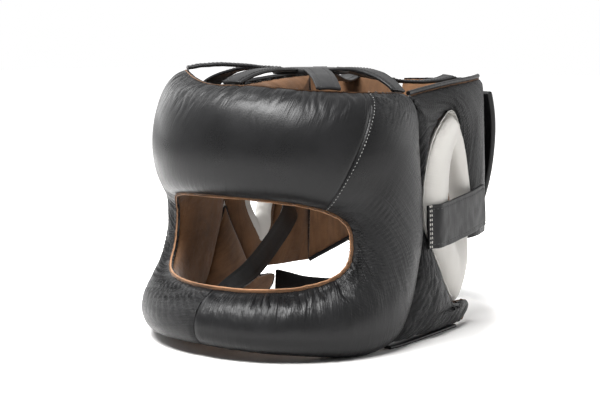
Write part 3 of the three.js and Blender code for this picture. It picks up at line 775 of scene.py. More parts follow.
def padded_cover(name, band, columns, swell, fold, replaces, material, slot="black_leather", side=1,
                 skirt=(0.5, 0.5), lining=False, cover=COVER_THICKNESS):
    """Crowned cover or lining of a cushion over a band of the head form. Returns lines near its edges."""
    rows = band.rows

    def reach(u, v):
        width = band.width(u)
        low, high = -skirt[0] / width, 1 + skirt[1] / width
        return lerp(low, high, (1 - math.cos(math.pi * v)) / 2), width

    def place(u, v):
        t, _ = reach(u, v)
        height = swell(u) * crown(clamp(t)) + SEAT_GAP / 2
        return band.spot(u, t, -height if lining else height)

    def shaped(u, v, point, pattern):
        t, width = reach(u, v)
        return fold(u, clamp(t), width, point, pattern)

    mesh = shape_grid(rows, columns, place, shaped)
    settle(mesh, inward if lining else outward, side)
    lines = {
        "start": grid_line(mesh, rows, columns, u=3 / rows),
        "end": grid_line(mesh, rows, columns, u=1 - 3 / rows),
    }
    thicken(mesh, cover)
    finish_piece(name, mesh, material, "headgear", slot, replaces)
    return lines


def padded_lining(name, band, columns, swell, fold, replaces, **settings):
    """Suede lining of a cushion, which swells inwards."""
    padded_cover(name, band, columns, swell, fold, replaces, brown_suede(), "brown_suede", lining=True,
                 cover=SUEDE_THICKNESS, **settings)


def length_property(name, description, default, low, high):
    return bpy.props.FloatProperty(name=name, description=description, default=default, min=low, max=high,
                                   subtype="DISTANCE", unit="LENGTH", precision=4)


def colour_property(name, description, default):
    return bpy.props.FloatVectorProperty(name=name, description=description, default=default, min=0, max=1,
                                         subtype="COLOR", size=3)


class HeadgearSizes(bpy.types.PropertyGroup):
    """Sizes of the leather's detail."""

    crease_depth: length_property(
        "Crease depth", "How deep the leather creases are next to the seams", 0.0019, 0.0, 0.003)
    pleat_depth: length_property(
        "Pleat depth", "How deep the gathers along the forehead's top edge are", 0.0018, 0.0, 0.004)
    leather: length_property("Leather", "Thickness of the covers", 0.0016, 0.0008, 0.0022)
    edge_radius: length_property(
        "Edge radius", "Radius of the turned suede edge round the eye opening", 0.0007, 0.0005, 0.002)
    piping_radius: length_property(
        "Piping radius", "Radius of the cord along the side panels' top edges", 0.0018, 0.001, 0.003)


class HeadgearColours(bpy.types.PropertyGroup):
    """Colours of the materials."""

    black: colour_property("Black leather", "Covers, straps and flap", (0.0034, 0.0034, 0.0037))
    white: colour_property("White leather", "Ear guards", (0.55, 0.534, 0.506))
    suede: colour_property("Suede", "Lining", (0.125, 0.062, 0.029))
    edge: colour_property("Suede edge", "Turned edge round the eye opening", (0.30, 0.16, 0.085))
    thread: colour_property("Thread", "Pale stitches", (0.62, 0.60, 0.56))


class HEADGEAR_OT_mask_covers(bpy.types.Operator):
    """Build the forehead and cheek covers, with their seams"""

    bl_idname = "headgear.mask_covers"
    bl_label = "Mask Covers"

    columns = 54

    def execute(self, context):
        seams = []
        panels = (
            ("forehead_leather", "forehead_cover", SEAM_TURN, 180 - SEAM_TURN, 300, 1.0),
            ("cheek_leather_left", "cheek_cover_left", -90, SEAM_TURN, 460, 7.0),
            ("cheek_leather_right", "cheek_cover_right", 180 - SEAM_TURN, 270, 460, 13.0),
        )
        for name, node, start, end, rows, seed in panels:
            lines = self.cover(name, node, start, end, rows, seed)
            if name.endswith("left"):
                seams.append(lines["end"])
            if name.endswith("right"):
                seams.append(lines["start"])
        stitch_piece("mask_seam_stitches", seams, SEAM_STITCH, grey_thread(), "headgear", uneven=0.5)
        return {"FINISHED"}

    def cover(self, name, node, start, end, rows, seed):
        band = Band(
            lambda u: eye_edge(lerp(start, end, u)), lambda u: mask_edge(lerp(start, end, u)), rows)
        depth = sizes().crease_depth / MM
        pleat = sizes().pleat_depth / MM

        def fold(u, t, width, point, pattern):
            turn = lerp(start, end, u)
            turn = 180 - turn if turn > 90 else turn
            along, across = pattern
            near_eye, near_rim = t * width, (1 - t) * width
            to_seam = min(along, band.length(t) - along)
            eye_pull = by_knots(
                turn, [(-90, 0.9), (-55, 1.0), (-30, 1.0), (10, 0.8), (40, 0.4), (54, 0.12), (90, 0.1)])
            eye_reach = by_knots(turn, [(-90, 11), (-55, 15), (-30, 24), (10, 22), (50, 12), (90, 10)])
            rim_pull = by_knots(turn, [(-90, 0.5), (-60, 0.4), (-35, 0.7), (35, 1.0), (60, 1.0), (90, 1.0)])
            rim_step = by_knots(turn, [(-90, 4.5), (30, 3.0), (52, 4.0), (60, 6.5), (90, 7.0)])
            rim_reach = by_knots(turn, [(-90, 7), (-35, 12), (30, 18), (56, 11), (90, 8)])
            rim_depth = by_knots(turn, [(-90, 0.6), (40, 0.8), (60, pleat), (90, pleat)])
            at_eye = eye_pull * math.exp(-near_eye / eye_reach) * clamp(near_eye / 2.0 + 0.2)
            at_rim = rim_pull * math.exp(-near_rim / rim_reach) * clamp(near_rim / 1.5 + 0.3)
            bend = 0.9 * lumps(along / 16, across / 14, seed + 17)
            moved = -depth * at_eye * creases(along / 4.6 + bend, across / 30, seed, 1.9)
            moved -= 0.5 * depth * at_eye * creases(along / 1.9 + bend, across / 15, seed + 2, 1.7)
            moved += 0.6 * depth * at_eye * lumps(along / 7.5, across / 26, seed + 3)
            moved -= rim_depth * at_rim * creases(along / rim_step + bend, across / 24, seed + 5, 1.7)
            moved += 0.5 * at_rim * lumps(along / rim_step / 1.4, across / 20, seed + 9)
            moved += 0.5 * lumps(along / 38, across / 30, seed + 11) * crown(t)
            moved -= 1.6 * math.exp(-to_seam / 1.3) * crown(t) ** 0.5
            return moved, clamp(0.03 + at_eye * 1.3 + at_rim * 0.7)

        def swell(u):
            return mask_swell(lerp(start, end, u), BULGE)

        replaced = (node, "mask_foam_outer") if node == "forehead_cover" else (node,)
        return padded_cover(name, band, self.columns, swell, fold, replaced, black_leather(),
                            skirt=(1.3, 0.5), cover=sizes().leather / MM)


class HEADGEAR_OT_mask_lining(bpy.types.Operator):
    """Build the suede lining behind the mask and the turned edge round the eye opening"""

    bl_idname = "headgear.mask_lining"
    bl_label = "Mask Lining"

    def execute(self, context):
        rows, columns = 420, 40
        band = Band(lambda u: eye_edge(360 * u - 90), lambda u: mask_edge(360 * u - 90), rows)

        def fold(u, t, width, point, pattern):
            upright = lumps(point.x / 17 + 0.35 * lumps(point.z / 30, point.y / 40, 2.0), point.y / 17, 4.0)
            near_eye = math.exp(-t * width / 9)
            moved = 1.1 * upright * crown(t) - 0.8 * creases(pattern[0] / 9, pattern[1] / 30, 6.0) * crown(t)
            moved -= 0.5 * near_eye * creases(pattern[0] / 5, pattern[1] / 20, 8.0)
            return moved, 0.3

        padded_lining("mask_suede", band, columns, lambda u: mask_swell(360 * u - 90, LINING_BULGE), fold,
                      ("mask_lining", "mask_foam_inner"), skirt=(1.0, 0.3))
        self.edge()
        return {"FINISHED"}

    def edge(self):
        radius = sizes().edge_radius / MM

        def path(u):
            turn = 360 * u - 90
            inner, outer = eye_edge(turn), mask_edge(turn)
            width = (wall_point(*inner) - wall_point(*outer)).length
            wave = 0.5 * lumps(u * 60, 1.0, 3.0)
            spot = blend(inner, outer, -(radius + 0.9 + wave) / width)
            return wall_point(*spot, 0.5 * lumps(u * 40, 4.0, 3.0))

        def girth(u, v):
            down = 0.5 - 0.5 * math.sin(math.radians(360 * u - 90))
            return radius * (0.45 + 0.55 * down) * (1 + 0.3 * lumps(u * 160, v, 5.0))

        samples = 90
        middles = [path(i / samples) * MM for i in range(samples + 1)]

        def from_middle(point):
            return point - min(middles, key=lambda p: (p - point).length_squared)

        place = tube_place(path, girth, lambda u: outward(path(u) * MM))
        mesh = shape_grid(420, 12, place, merged=True)
        settle(mesh, from_middle)
        finish_piece("eye_opening_edge", mesh, tan_edge(), "headgear", "tan_binding",
                     ("eye_opening_binding",))


class HEADGEAR_OT_side_panels(bpy.types.Operator):
    """Build the side panels over the ear guards"""

    bl_idname = "headgear.side_panels"
    bl_label = "Side Panels"

    start = 0.5
    temple = CREST_KNOT - 1
    corner = CREST_KNOT + 1.5

    def execute(self, context):
        around = teardrop(GUARD, SEAM_GAP / 2)
        for side, sign in SIDES:
            end = FOOT_KNOT - (2 if side == "left" else 0.5)
            top = (CORNER_ANGLE, PANEL_TOP_REAR)
            low = (CORNER_ANGLE, PANEL_LOW_CORNER[side])

            def outer(k):
                if k < self.temple:
                    return crease_edge(lerp(8, 5, (k - self.start) / (self.temple - self.start)), 0.6)
                if k < self.corner:
                    return blend(crease_edge(5, 0.6), top, (k - self.temple) / (self.corner - self.temple))
                return blend(top, low, (k - self.corner) / (end - self.corner))

            rows = 380
            band = Band(
                lambda u: around(lerp(self.start, end, u)), lambda u: outer(lerp(self.start, end, u)), rows)

            def swell(u, full):
                return full * min(1, 0.35 + 4 * u)

            def fold(u, t, width, point, pattern):
                k = lerp(self.start, end, u)
                along, across = pattern
                calm = smooth(4.3, 5.4, k)
                gathered = math.exp(-t * width / 26) + 0.55 * math.exp(-(1 - t) * width / 14)
                gathered *= 1 - 0.75 * calm
                bend = 0.8 * lumps(along / 14, across / 12, 22.0)
                moved = -1.2 * gathered * creases(along / 3.6 + bend, across / 26, 21.0, 1.8)
                moved -= 0.6 * gathered * creases(along / 1.7 + bend, across / 16, 26.0, 1.8)
                moved += 0.6 * gathered * lumps(along / 6.5, across / 20, 23.0)
                moved += 0.6 * lumps(along / 30, across / 30, 25.0) * crown(t)
                return moved, clamp(0.15 + gathered)

            padded_cover(f"side_panel_leather_{side}", band, 44, lambda u: swell(u, PANEL_BULGE), fold,
                         (f"side_panel_cover_{side}", f"side_panel_foam_{side}"), panel_leather(),
                         side=sign)

            def folds_inside(u, t, width, point, pattern):
                moved = 1.0 * lumps(point.y / 12, point.z / 40, 27.0) * crown(t)
                moved -= 0.7 * creases(pattern[0] / 9, pattern[1] / 30, 28.0) * crown(t)
                return moved, 0.3

            padded_lining(f"side_panel_suede_{side}", band, 30, lambda u: swell(u, PANEL_LINING_BULGE),
                          folds_inside, (f"side_panel_lining_{side}",), side=sign)
        return {"FINISHED"}


class HEADGEAR_OT_ear_guards(bpy.types.Operator):
    """Build the white ear guards round the ear holes"""

    bl_idname = "headgear.ear_guards"
    bl_label = "Ear Guards"

    wrap = 0.42  # share of the inner face that the white leather covers round the hole

    def execute(self, context):
        rows, columns = 390, 50
        edge, hole = teardrop(GUARD, 0), teardrop(HOLE, 0)
        band = Band(lambda u: hole(GUARD_KNOTS * u), lambda u: edge(GUARD_KNOTS * u), rows)

        def ahead(u):
            return (1 + math.cos(2 * math.pi * (u - 1 / GUARD_KNOTS))) / 2

        def place(u, v):
            start = -math.acos(1 - 2 * self.wrap)
            turn = lerp(start, math.pi, v)
            t = (1 - math.cos(turn)) / 2
            outside = turn >= 0
            full = lerp(GUARD_BACK, GUARD_RIDGE, ahead(u)) if outside else GUARD_INNER
            point, pattern = band.spot(u, t, full * math.sin(turn))
            return point, (pattern[0], pattern[1] if outside else -pattern[1])

        def fold(u, v, point, pattern):
            k = GUARD_KNOTS * u
            near_edge = max(0.0, band.width(u) - pattern[1])
            crest = math.exp(-((k - CREST_KNOT) / 1.0) ** 2) + 0.25
            gathered = crest * math.exp(-near_edge / 5)
            moved = -0.9 * gathered * creases(pattern[0] / 2.6, pattern[1] / 14, 31.0, 1.6)
            moved += 0.35 * lumps(point.y / 9, point.z / 16, 33.0)
            return moved, clamp(crest * math.exp(-near_edge / 7))

        for side, sign in SIDES:
            mesh = shape_grid(rows, columns, place, fold, merged=True)
            settle(mesh, outward, sign)
            thicken(mesh, GUARD_THICKNESS)
            finish_piece(f"ear_guard_leather_{side}", mesh, white_leather(), "headgear", "white_leather",
                         (f"ear_guard_cover_{side}", f"ear_guard_foam_{side}"))
            self.inside(side, sign, band, ahead)
            self.flange(side, sign, edge)
        return {"FINISHED"}

    def inside(self, side, sign, band, ahead):
        rows = band.rows

        def place(u, v):
            turn = lerp(math.acos(1 - 2 * self.wrap) - 0.04, math.pi, v)
            t = (1 - math.cos(turn)) / 2
            return band.spot(u, t, -GUARD_INNER * math.sin(turn) - 0.1)

        def fold(u, v, point, pattern):
            return 0.5 * lumps(point.y / 9, point.z / 22, 35.0), 0.3

        mesh = shape_grid(rows, 20, place, fold, merged=True)
        settle(mesh, inward, sign)
        thicken(mesh, GUARD_SUEDE_THICKNESS)
        finish_piece(f"ear_guard_suede_{side}", mesh, brown_suede(), "headgear", "brown_suede",
                     (f"ear_guard_lining_{side}",))

    def flange(self, side, sign, edge):
        """Flat stitched margin of the white leather, round the front and the crest."""
        wide = teardrop(GUARD, 2.4)
        start, end, rows, columns = -3.2, 4.4, 200, 5

        def place(u, v):
            k = lerp(start, end, u) % GUARD_KNOTS
            ragged = 0.7 * lumps(u * 70, 2.0, 37.0) * smooth(0.5, 1, v)
            p = blend(edge(k), wide(k), v + ragged * 0.2)
            return wall_point(*p, 1.4 + 4.4 * v + 0.5 * lumps(u * 50, v, 38.0)), (u * 260, v * 4.8)

        mesh = shape_grid(rows, columns, place)
        settle(mesh, outward, sign)
        line = grid_line(mesh, rows, columns, v=0.8)
        thicken(mesh, GUARD_MARGIN_THICKNESS)
        finish_piece(f"ear_guard_margin_{side}", mesh, white_leather(), "headgear", "white_leather")
        stitch_piece(f"ear_guard_stitches_{side}", [line], GUARD_STITCH, grey_thread(), "headgear",
                     "white_leather", lift=0.0001)


class HEADGEAR_OT_jaw_pads(bpy.types.Operator):
    """Build the jaw pads with their rolled rear ends and hems"""

    bl_idname = "headgear.jaw_pads"
    bl_label = "Jaw Pads"

    def execute(self, context):
        base = HEM_HEIGHT + SEAT_GAP
        around = teardrop(GUARD, SEAM_GAP / 2)
        top_knot, turn_knot = GUARD_KNOTS - 0.5, FOOT_KNOT + 1
        end = spline([
            around(turn_knot),
            side_point(GUARD["foot"], JAW_REAR_HEIGHT - 2),
            side_point(JAW_REAR, JAW_REAR_HEIGHT - 3),
            side_point(JAW_REAR + 1, JAW_REAR_HEIGHT / 2),
            side_point(JAW_REAR - 6, base),
        ])

        def rear(u):
            if u < 0.5:
                return around(lerp(top_knot, turn_knot, u / 0.5))
            p = end((u - 0.5) / 0.5)
            return (p.x, p.y)

        def front(u):
            p = crease_edge(lerp(8.5, 11.2, u), 0.6)
            return (p[0], max(p[1], base))

        rows, columns = 200, 110
        band = Band(front, rear, rows)

        def swell(u, full):
            rise = min(1, 0.3 + 2.2 * u)
            return full * rise * (1 - 0.6 * ((u - 0.7) / 0.3) ** 2 if u > 0.7 else 1)

        def fold(u, t, width, point, pattern):
            along, across = pattern
            back = point.y - ORIGIN_Y
            roll = smooth(70, 88, back)
            bend = 0.6 * lumps(along / 15, across / 22, 42.0)
            moved = 1.2 * lumps(across / 13, along / 17, 41.0) * crown(t) ** 0.5
            deep = (1.0 - 0.6 * roll) * creases(across / 8 + bend, along / 22, 43.0, 1.7)
            deep += 0.6 * creases(across / 3.4 + bend, along / 11, 45.0, 1.9)
            deep += 1.6 * roll * creases(across / 5.5, along / 40, 46.0, 1.5)
            moved -= deep * crown(t) ** 0.3
            moved += 5.0 * roll * crown(t) ** 0.7
            return moved, 0.55

        for side, sign in SIDES:
            padded_cover(f"jaw_pad_leather_{side}", band, columns, lambda u: swell(u, JAW_BULGE), fold,
                         (f"jaw_pad_cover_{side}", f"jaw_pad_foam_{side}"), panel_leather(), side=sign)

            def folds_inside(u, t, width, point, pattern):
                return 0.8 * lumps(point.y / 12, point.z / 20, 47.0) * crown(t), 0.3

            padded_lining(f"jaw_pad_suede_{side}", band, 50, lambda u: swell(u, JAW_LINING_BULGE),
                          folds_inside, (f"jaw_pad_lining_{side}",), side=sign)
            self.hem(side, sign)
        return {"FINISHED"}

    def hem(self, side, sign):
        """Folded strip that the jaw pad stands on."""
        front, rear = crease_edge(11.2)[0], side_point(HEM_REAR, 0)[0]
        half = HEM_HEIGHT / 2

        def place(u, v):
            angle = lerp(front, rear, u)
            turn = 2 * math.pi * v
            out = (HEM_WIDTH / 2) * signed_power(math.cos(turn), 0.7)
            rise = half * signed_power(math.sin(turn), 0.6)
            wave = 0.35 * lumps(u * 30, v * 2, 49.0)
            return wall_point(angle, half + max(rise, -half), out + wave), (u * 112, v * 20)

        mesh = shape_grid(110, 24, place, merged=True)
        close_ends(mesh, sign)
        finish_piece(f"jaw_hem_strip_{side}", mesh, strap_leather(), "headgear", "black_leather",
                     (f"jaw_hem_{side}",))


class HEADGEAR_OT_corded_edges(bpy.types.Operator):
    """Build the corded top edges of the side panels and the bound lower edges at the back"""

    bl_idname = "headgear.corded_edges"
    bl_label = "Corded Edges"

    def execute(self, context):
        top = (CORNER_ANGLE, PANEL_TOP_REAR)
        radius = sizes().piping_radius / MM
        temple = crease_edge(5)

        def piping(u):
            p = blend(temple, top, lerp(0.03, 1.0, u))
            return wall_point(p[0], p[1] + radius + 0.2, 0.4 * lumps(u * 9, 1.0, 51.0))

        for side, sign in SIDES:
            self.cord(f"corded_edge_{side}", piping, radius, 160, sign, (f"top_piping_{side}",))
            low = PANEL_LOW_CORNER[side]
            gap = math.degrees(BACK_GAP / 2 / BROW_WALL["rear"])

            def lower(u):
                p = blend((CORNER_ANGLE, low), (180 - gap, BACK_BOTTOM), u)
                return wall_point(p[0], p[1] - 0.6, -0.5)

            self.cord(f"back_bound_edge_{side}", lower, 2.0, 90, sign, ())
        return {"FINISHED"}

    def cord(self, name, path, radius, rows, sign, replaces):
        place = tube_place(path, lambda u, v: radius * (1 + 0.08 * lumps(u * 60, v, 53.0)))
        mesh = shape_grid(rows, 14, place, merged=True)
        close_ends(mesh, sign)
        finish_piece(name, mesh, strap_leather(), "headgear", "black_leather", replaces)


def sheet_on_back(name, angles, levels, base, thickness, material, body, replaces, fold, round_by):
    """Padded sheet over the back of the head form, rounded at the rim. Returns lines near its edges."""
    rows, columns = 110, 60

    def place(u, v):
        z = lerp(*levels, v)
        rise = (z - FLAP_BOTTOM) / (FLAP_TOP - FLAP_BOTTOM)
        lift = base + thickness + FLAP_BOW * (1 - (2 * rise - 1) ** 2)
        return wall_point(lerp(*angles, u), z, lift), (u * 150, v * 100)

    mesh = shape_grid(rows, columns, place, fold)
    settle(mesh, outward)
    lines = [grid_line(mesh, rows, columns, u=u) for u in (2 / rows, 1 - 2 / rows)]
    lines += [grid_line(mesh, rows, columns, v=v) for v in (2 / columns, 1 - 2 / columns)]
    thicken(mesh, thickness)
    round_edges(mesh, round_by, 3)
    finish_piece(name, mesh, material, body, "black_leather", replaces)
    return lines


class HEADGEAR_OT_back(bpy.types.Operator):
    """Build the back panels, the underflap and the flap"""

    bl_idname = "headgear.back"
    bl_label = "Back Panels and Flap"

    def execute(self, context):
        gap = math.degrees(BACK_GAP / 2 / wall_size("rear", FLAP_TOP))
        start, end = CORNER_ANGLE + 0.1, 180 - gap
        for side, sign in SIDES:
            low = PANEL_LOW_CORNER[side]
            band = Band(lambda u: (lerp(start, end, u), lerp(low, BACK_BOTTOM, u)),
                        lambda u: (lerp(start, end, u), lerp(PANEL_TOP_REAR, BACK_TOP, u)), 80)

            def fold(u, t, width, point, pattern):
                moved = 0.6 * lumps(point.x / 14, point.z / 22, 61.0) * crown(t)
                return moved - 0.5 * creases(pattern[0] / 8, pattern[1] / 24, 63.0), 0.4

            padded_cover(f"back_panel_leather_{side}", band, 60, lambda u: BACK_BULGE, fold,
                         (f"back_panel_cover_{side}", f"back_panel_foam_{side}"), panel_leather(),
                         side=sign)

            def folds_inside(u, t, width, point, pattern):
                moved = 1.5 * lumps(point.x / 11, point.z / 60, 65.0) * crown(t)
                moved -= 1.2 * creases(point.x / 14, point.z / 70, 67.0, 1.7) * crown(t)
                return moved, 0.4

            padded_lining(f"back_panel_suede_{side}", band, 60, lambda u: BACK_LINING_BULGE, folds_inside,
                          (f"back_panel_lining_{side}",), side=sign)

        def soft(u, v, point, pattern):
            edge = min(u, 1 - u) * 150, min(v, 1 - v) * 100
            ridge = 0.9 * math.exp(-((min(edge) - 7) / 1.6) ** 2)
            return 0.5 * lumps(point.x / 24, point.z / 30, 69.0) - ridge, 0.35

        mirror = 360 - FLAP_ANGLE
        sheet_on_back("back_underflap", (FLAP_ANGLE + 2, mirror), (FLAP_BOTTOM + 3, FLAP_TOP - 3),
                      UNDERFLAP_OUTER - UNDERFLAP_THICKNESS, UNDERFLAP_THICKNESS, panel_leather(),
                      "headgear", ("rear_underflap",), soft, 2.2)
        lines = sheet_on_back("back_flap", (FLAP_ANGLE, mirror - 2), (FLAP_BOTTOM, FLAP_TOP), FLAP_BASE,
                              FLAP_THICKNESS, strap_leather(), "flap", ("rear_flap",), soft, 2.6)
        stitch_piece("back_flap_stitches", lines, FLAP_STITCH, black_thread(), "flap", lift=-0.0001)
        for node in ("rear_loop_patch", "rear_hook_patch", "side_loop_patch", "side_hook_patch"):
            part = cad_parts[node]
            part.data.materials.clear()
            part.data.materials.append(tape("hook and loop tape", (0.012, 0.012, 0.012)))
        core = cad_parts["face_bar_core"]
        core.data.materials.clear()
        core.data.materials.append(thread("bar core", (0.03, 0.03, 0.032)))
        return {"FINISHED"}


def strap_piece(name, path, across, facing, width, thickness, rows, material, body, replaces, columns=14,
                crown_by=0.5):
    """Flat strap along path(u), its width along across(u) and its good side towards facing(point).

    Points are in millimetres. Returns lines near its long edges and near its start.
    """

    def place(u, v):
        step = 0.004
        ahead = (path(min(1, u + step)) - path(max(0, u - step))).normalized()
        side = across(u)
        side = (side - ahead * side.dot(ahead)).normalized()
        face = side.cross(ahead).normalized()
        if face.dot(facing(path(u))) < 0:
            face = -face
        reach = v - 0.5
        lift = thickness / 2 + crown_by * (1 - (2 * reach) ** 2)
        return path(u) + side * (reach * width) + face * lift, (u * 120, v * width)

    def fold(u, v, point, pattern):
        edge = min(v, 1 - v) * width
        groove = 0.35 * math.exp(-((edge - 2.6) / 0.7) ** 2)
        return 0.3 * lumps(point.x / 9 + point.y / 7, point.z / 9, 71.0) - groove, 0.3

    mesh = shape_grid(rows, columns, place, fold)
    settle(mesh, lambda p: facing(p / MM))
    edge_columns = 3 / columns
    lines = {
        "first": grid_line(mesh, rows, columns, v=edge_columns),
        "second": grid_line(mesh, rows, columns, v=1 - edge_columns),
        "start": grid_line(mesh, rows, columns, u=4 / rows),
        "after_start": grid_line(mesh, rows, columns, u=9 / rows),
    }
    thicken(mesh, thickness)
    round_edges(mesh, 0.8, 2)
    finish_piece(name, mesh, material, body, "black_leather", replaces)
    return lines


class HEADGEAR_OT_side_strap(bpy.types.Operator):
    """Build the strap over the left ear guard"""

    bl_idname = "headgear.side_strap"
    bl_label = "Side Strap"

    def execute(self, context):
        d = SIDE_STRAP
        half = d["thickness"] / 2
        ridge_y = (GUARD["front"] + HOLE["front"]) / 2
        route = [
            (d["front"], 8.5),
            (GUARD["front"] + 2, GUARD_RIDGE * 0.85),
            (GUARD["front"] + 6, GUARD_RIDGE + 1),
            (ridge_y, GUARD_RIDGE + SEAT_GAP + half),
            (HOLE["front"], GUARD_RIDGE + SEAT_GAP + half),
            (HOLE["rear"], GUARD_BACK + 5),
            (GUARD["rear"], PANEL_BULGE + PATCH_STACK + half),
            (d["rear"], PANEL_BULGE + PATCH_STACK + half),
        ]
        knots = []
        for y, height in route:
            share = (y - d["front"]) / (d["rear"] - d["front"])
            z = d["level"] + d["rise"] * share ** 1.4
            knots.append(wall_point(angle_at(y, z), z, height))
        path = spline(knots)
        up = Vector((0, 0, 1))
        lines = strap_piece("ear_strap_leather", path, lambda u: up, lambda p: Vector((1, 0, 0)), d["width"],
                            d["thickness"], 110, strap_leather(), "ear_strap", ("side_strap",), 30, 0.3)
        stitch_piece("ear_strap_edge_stitches", (lines["first"], lines["second"]), STRAP_STITCH,
                     black_thread(), "ear_strap")
        stitch_piece("ear_strap_front_stitches", (lines["start"], lines["after_start"]), STRAP_FRONT_STITCH,
                     thread("pale thread", colours().thread), "ear_strap")
        return {"FINISHED"}


class HEADGEAR_OT_crown(bpy.types.Operator):
    """Build the crown pad and its straps"""

    bl_idname = "headgear.crown"
    bl_label = "Crown"

    def execute(self, context):
        centre = Vector((0, ORIGIN_Y + CROWN_CENTRE_Y, CROWN_HEIGHT))
        profile = bmesh.new()
        half = CROWN_PAD_THICKNESS / 2
        outline = [(0, half), (20, half + 0.3), (25, half - 0.1), (27, half - 0.7), (29, half - 0.3),
                   (CROWN_PAD_RADIUS, 0), (29, -half + 0.4), (20, -half), (0, -half)]
        verts = [profile.verts.new((centre + Vector((r, 0, z))) * MM) for r, z in outline]
        edges = [profile.edges.new(pair) for pair in zip(verts, verts[1:])]
        bmesh.ops.spin(profile, geom=verts + edges, cent=centre * MM, axis=(0, 0, 1), angle=2 * math.pi,
                       steps=64, use_merge=True)
        bmesh.ops.remove_doubles(profile, verts=profile.verts[:], dist=1e-6)
        bmesh.ops.recalc_face_normals(profile, faces=profile.faces[:])
        profile.loops.layers.uv.new("surface")
        finish_piece("crown_pad_leather", profile, strap_leather(), "headgear", "black_leather",
                     ("crown_pad",))

        self.strap("front", 0, 4, 1, centre)
        for side, sign in SIDES:
            self.strap(f"temple_{side}", 46, 3, sign, centre)
            self.strap(f"side_{side}", 84, 7, sign, centre)
            self.strap(f"rear_{side}", 160, -7, sign, centre)
        return {"FINISHED"}

    def strap(self, name, angle, arch, sign, centre):
        def edge(a):
            if a < TEMPLE_ANGLE:
                turn = next(t for t in range(90, 30, -1) if mask_edge(t)[0] >= a)
                z = mask_edge(turn if sign > 0 else 180 - turn)[1]
            else:
                z = lerp(PANEL_TOP_REAR, BACK_TOP, (a - CORNER_ANGLE) / (180 - CORNER_ANGLE))
            return wall_point(a, z + SEAT_GAP + CROWN_STRAP_THICKNESS / 2, -1)

        start = edge(angle)
        along = (edge(angle + 2) - edge(max(0, angle - 2))).normalized()
        away = start - centre
        away.z = 0
        away.normalize()
        end = centre + away * (CROWN_PAD_RADIUS - 2) + Vector((0, 0, 1.4))
        sideways = Vector((-away.y, away.x, 0))
        if along.dot(sideways) < 0:
            along.negate()

        def path(u):
            p = start.lerp(end, u) + Vector((0, 0, arch * math.sin(math.pi * u ** 0.8)))
            if sign < 0:
                p.x = -p.x
            return p

        def across(u):
            v = along.lerp(sideways, min(1, 3 * u))
            return Vector((v.x * sign, v.y, v.z))

        lines = strap_piece(f"crown_band_{name}", path, across, lambda p: Vector((0, 0, 1)),
                            CROWN_STRAP_WIDTH, CROWN_STRAP_THICKNESS, 60, strap_leather(), "headgear",
                            (f"crown_strap_{name}",))
        stitch_piece(f"crown_stitches_{name}", (lines["first"], lines["second"]), CROWN_STITCH,
                     black_thread(), "headgear")


class HEADGEAR_OT_chin_straps(bpy.types.Operator):
    """Build the straps that show through the eye opening"""

    bl_idname = "headgear.chin_straps"
    bl_label = "Chin Straps"

    def execute(self, context):
        seat = SEAT_GAP + CHIN_STRAP_THICKNESS / 2

        def root(y):
            level = LONG_STRAP_LEVEL
            return wall_point(angle_at(y, level), level, -(LINING_BULGE["cheek"] + seat))

        across = [(52, -40, -2), (24, -36, -4), (4, -30, -4), (-9, -26, -4)]
        path = spline([root(y) for y in LONG_STRAP_ROOT]
                      + [(x, y + ORIGIN_Y, LONG_STRAP_LEVEL + z) for x, y, z in across])
        up = Vector((0, 0, 1))
        strap_piece("chin_strap_leather", path, lambda u: up, lambda p: Vector((0, -1, 0)), CHIN_STRAP_WIDTH,
                    CHIN_STRAP_THICKNESS, 80, strap_leather(), "chin_strap", ("chin_strap_long",))
        self.diagonal(seat)
        return {"FINISHED"}

    def diagonal(self, seat):
        rear_y, rear_z, bar_angle, bar_level = 96, 100, 6, 22

        def on_panel(y, z):
            return wall_point(-angle_at(y, z), z, -(PANEL_LINING_BULGE + seat + 2))

        def on_bar(z):
            return wall_point(-bar_angle, z, -(LINING_BULGE["bar"] + seat + 2.5))

        hanging = [Vector((x, y + ORIGIN_Y, z)) for x, y, z in ((-56, 52, 76), (-35, 0, 60), (-17, -50, 48))]
        path = spline([on_panel(rear_y, rear_z), on_panel(rear_y - 6, rear_z - 12), *hanging,
                       on_bar(bar_level + 12), on_bar(bar_level)])

        def tangent(angle, z):
            return (wall_point(angle + 1, z) - wall_point(angle - 1, z)).normalized()

        along_panel = tangent(-angle_at(rear_y, rear_z), rear_z) * -0.5
        along_panel.z = -0.87
        along_bar = tangent(-bar_angle, bar_level)
        turn = Vector((0.7, 0.5, -0.55))
        facing = spline([along_panel, along_panel, turn, turn, turn, along_bar, along_bar])
        strap_piece("diagonal_strap_leather", path, facing, lambda p: Vector((0.5, -0.8, 0.3)),
                    DIAGONAL_STRAP_WIDTH, CHIN_STRAP_THICKNESS, 120, strap_leather(), "headgear",
                    ("chin_strap_diagonal",))


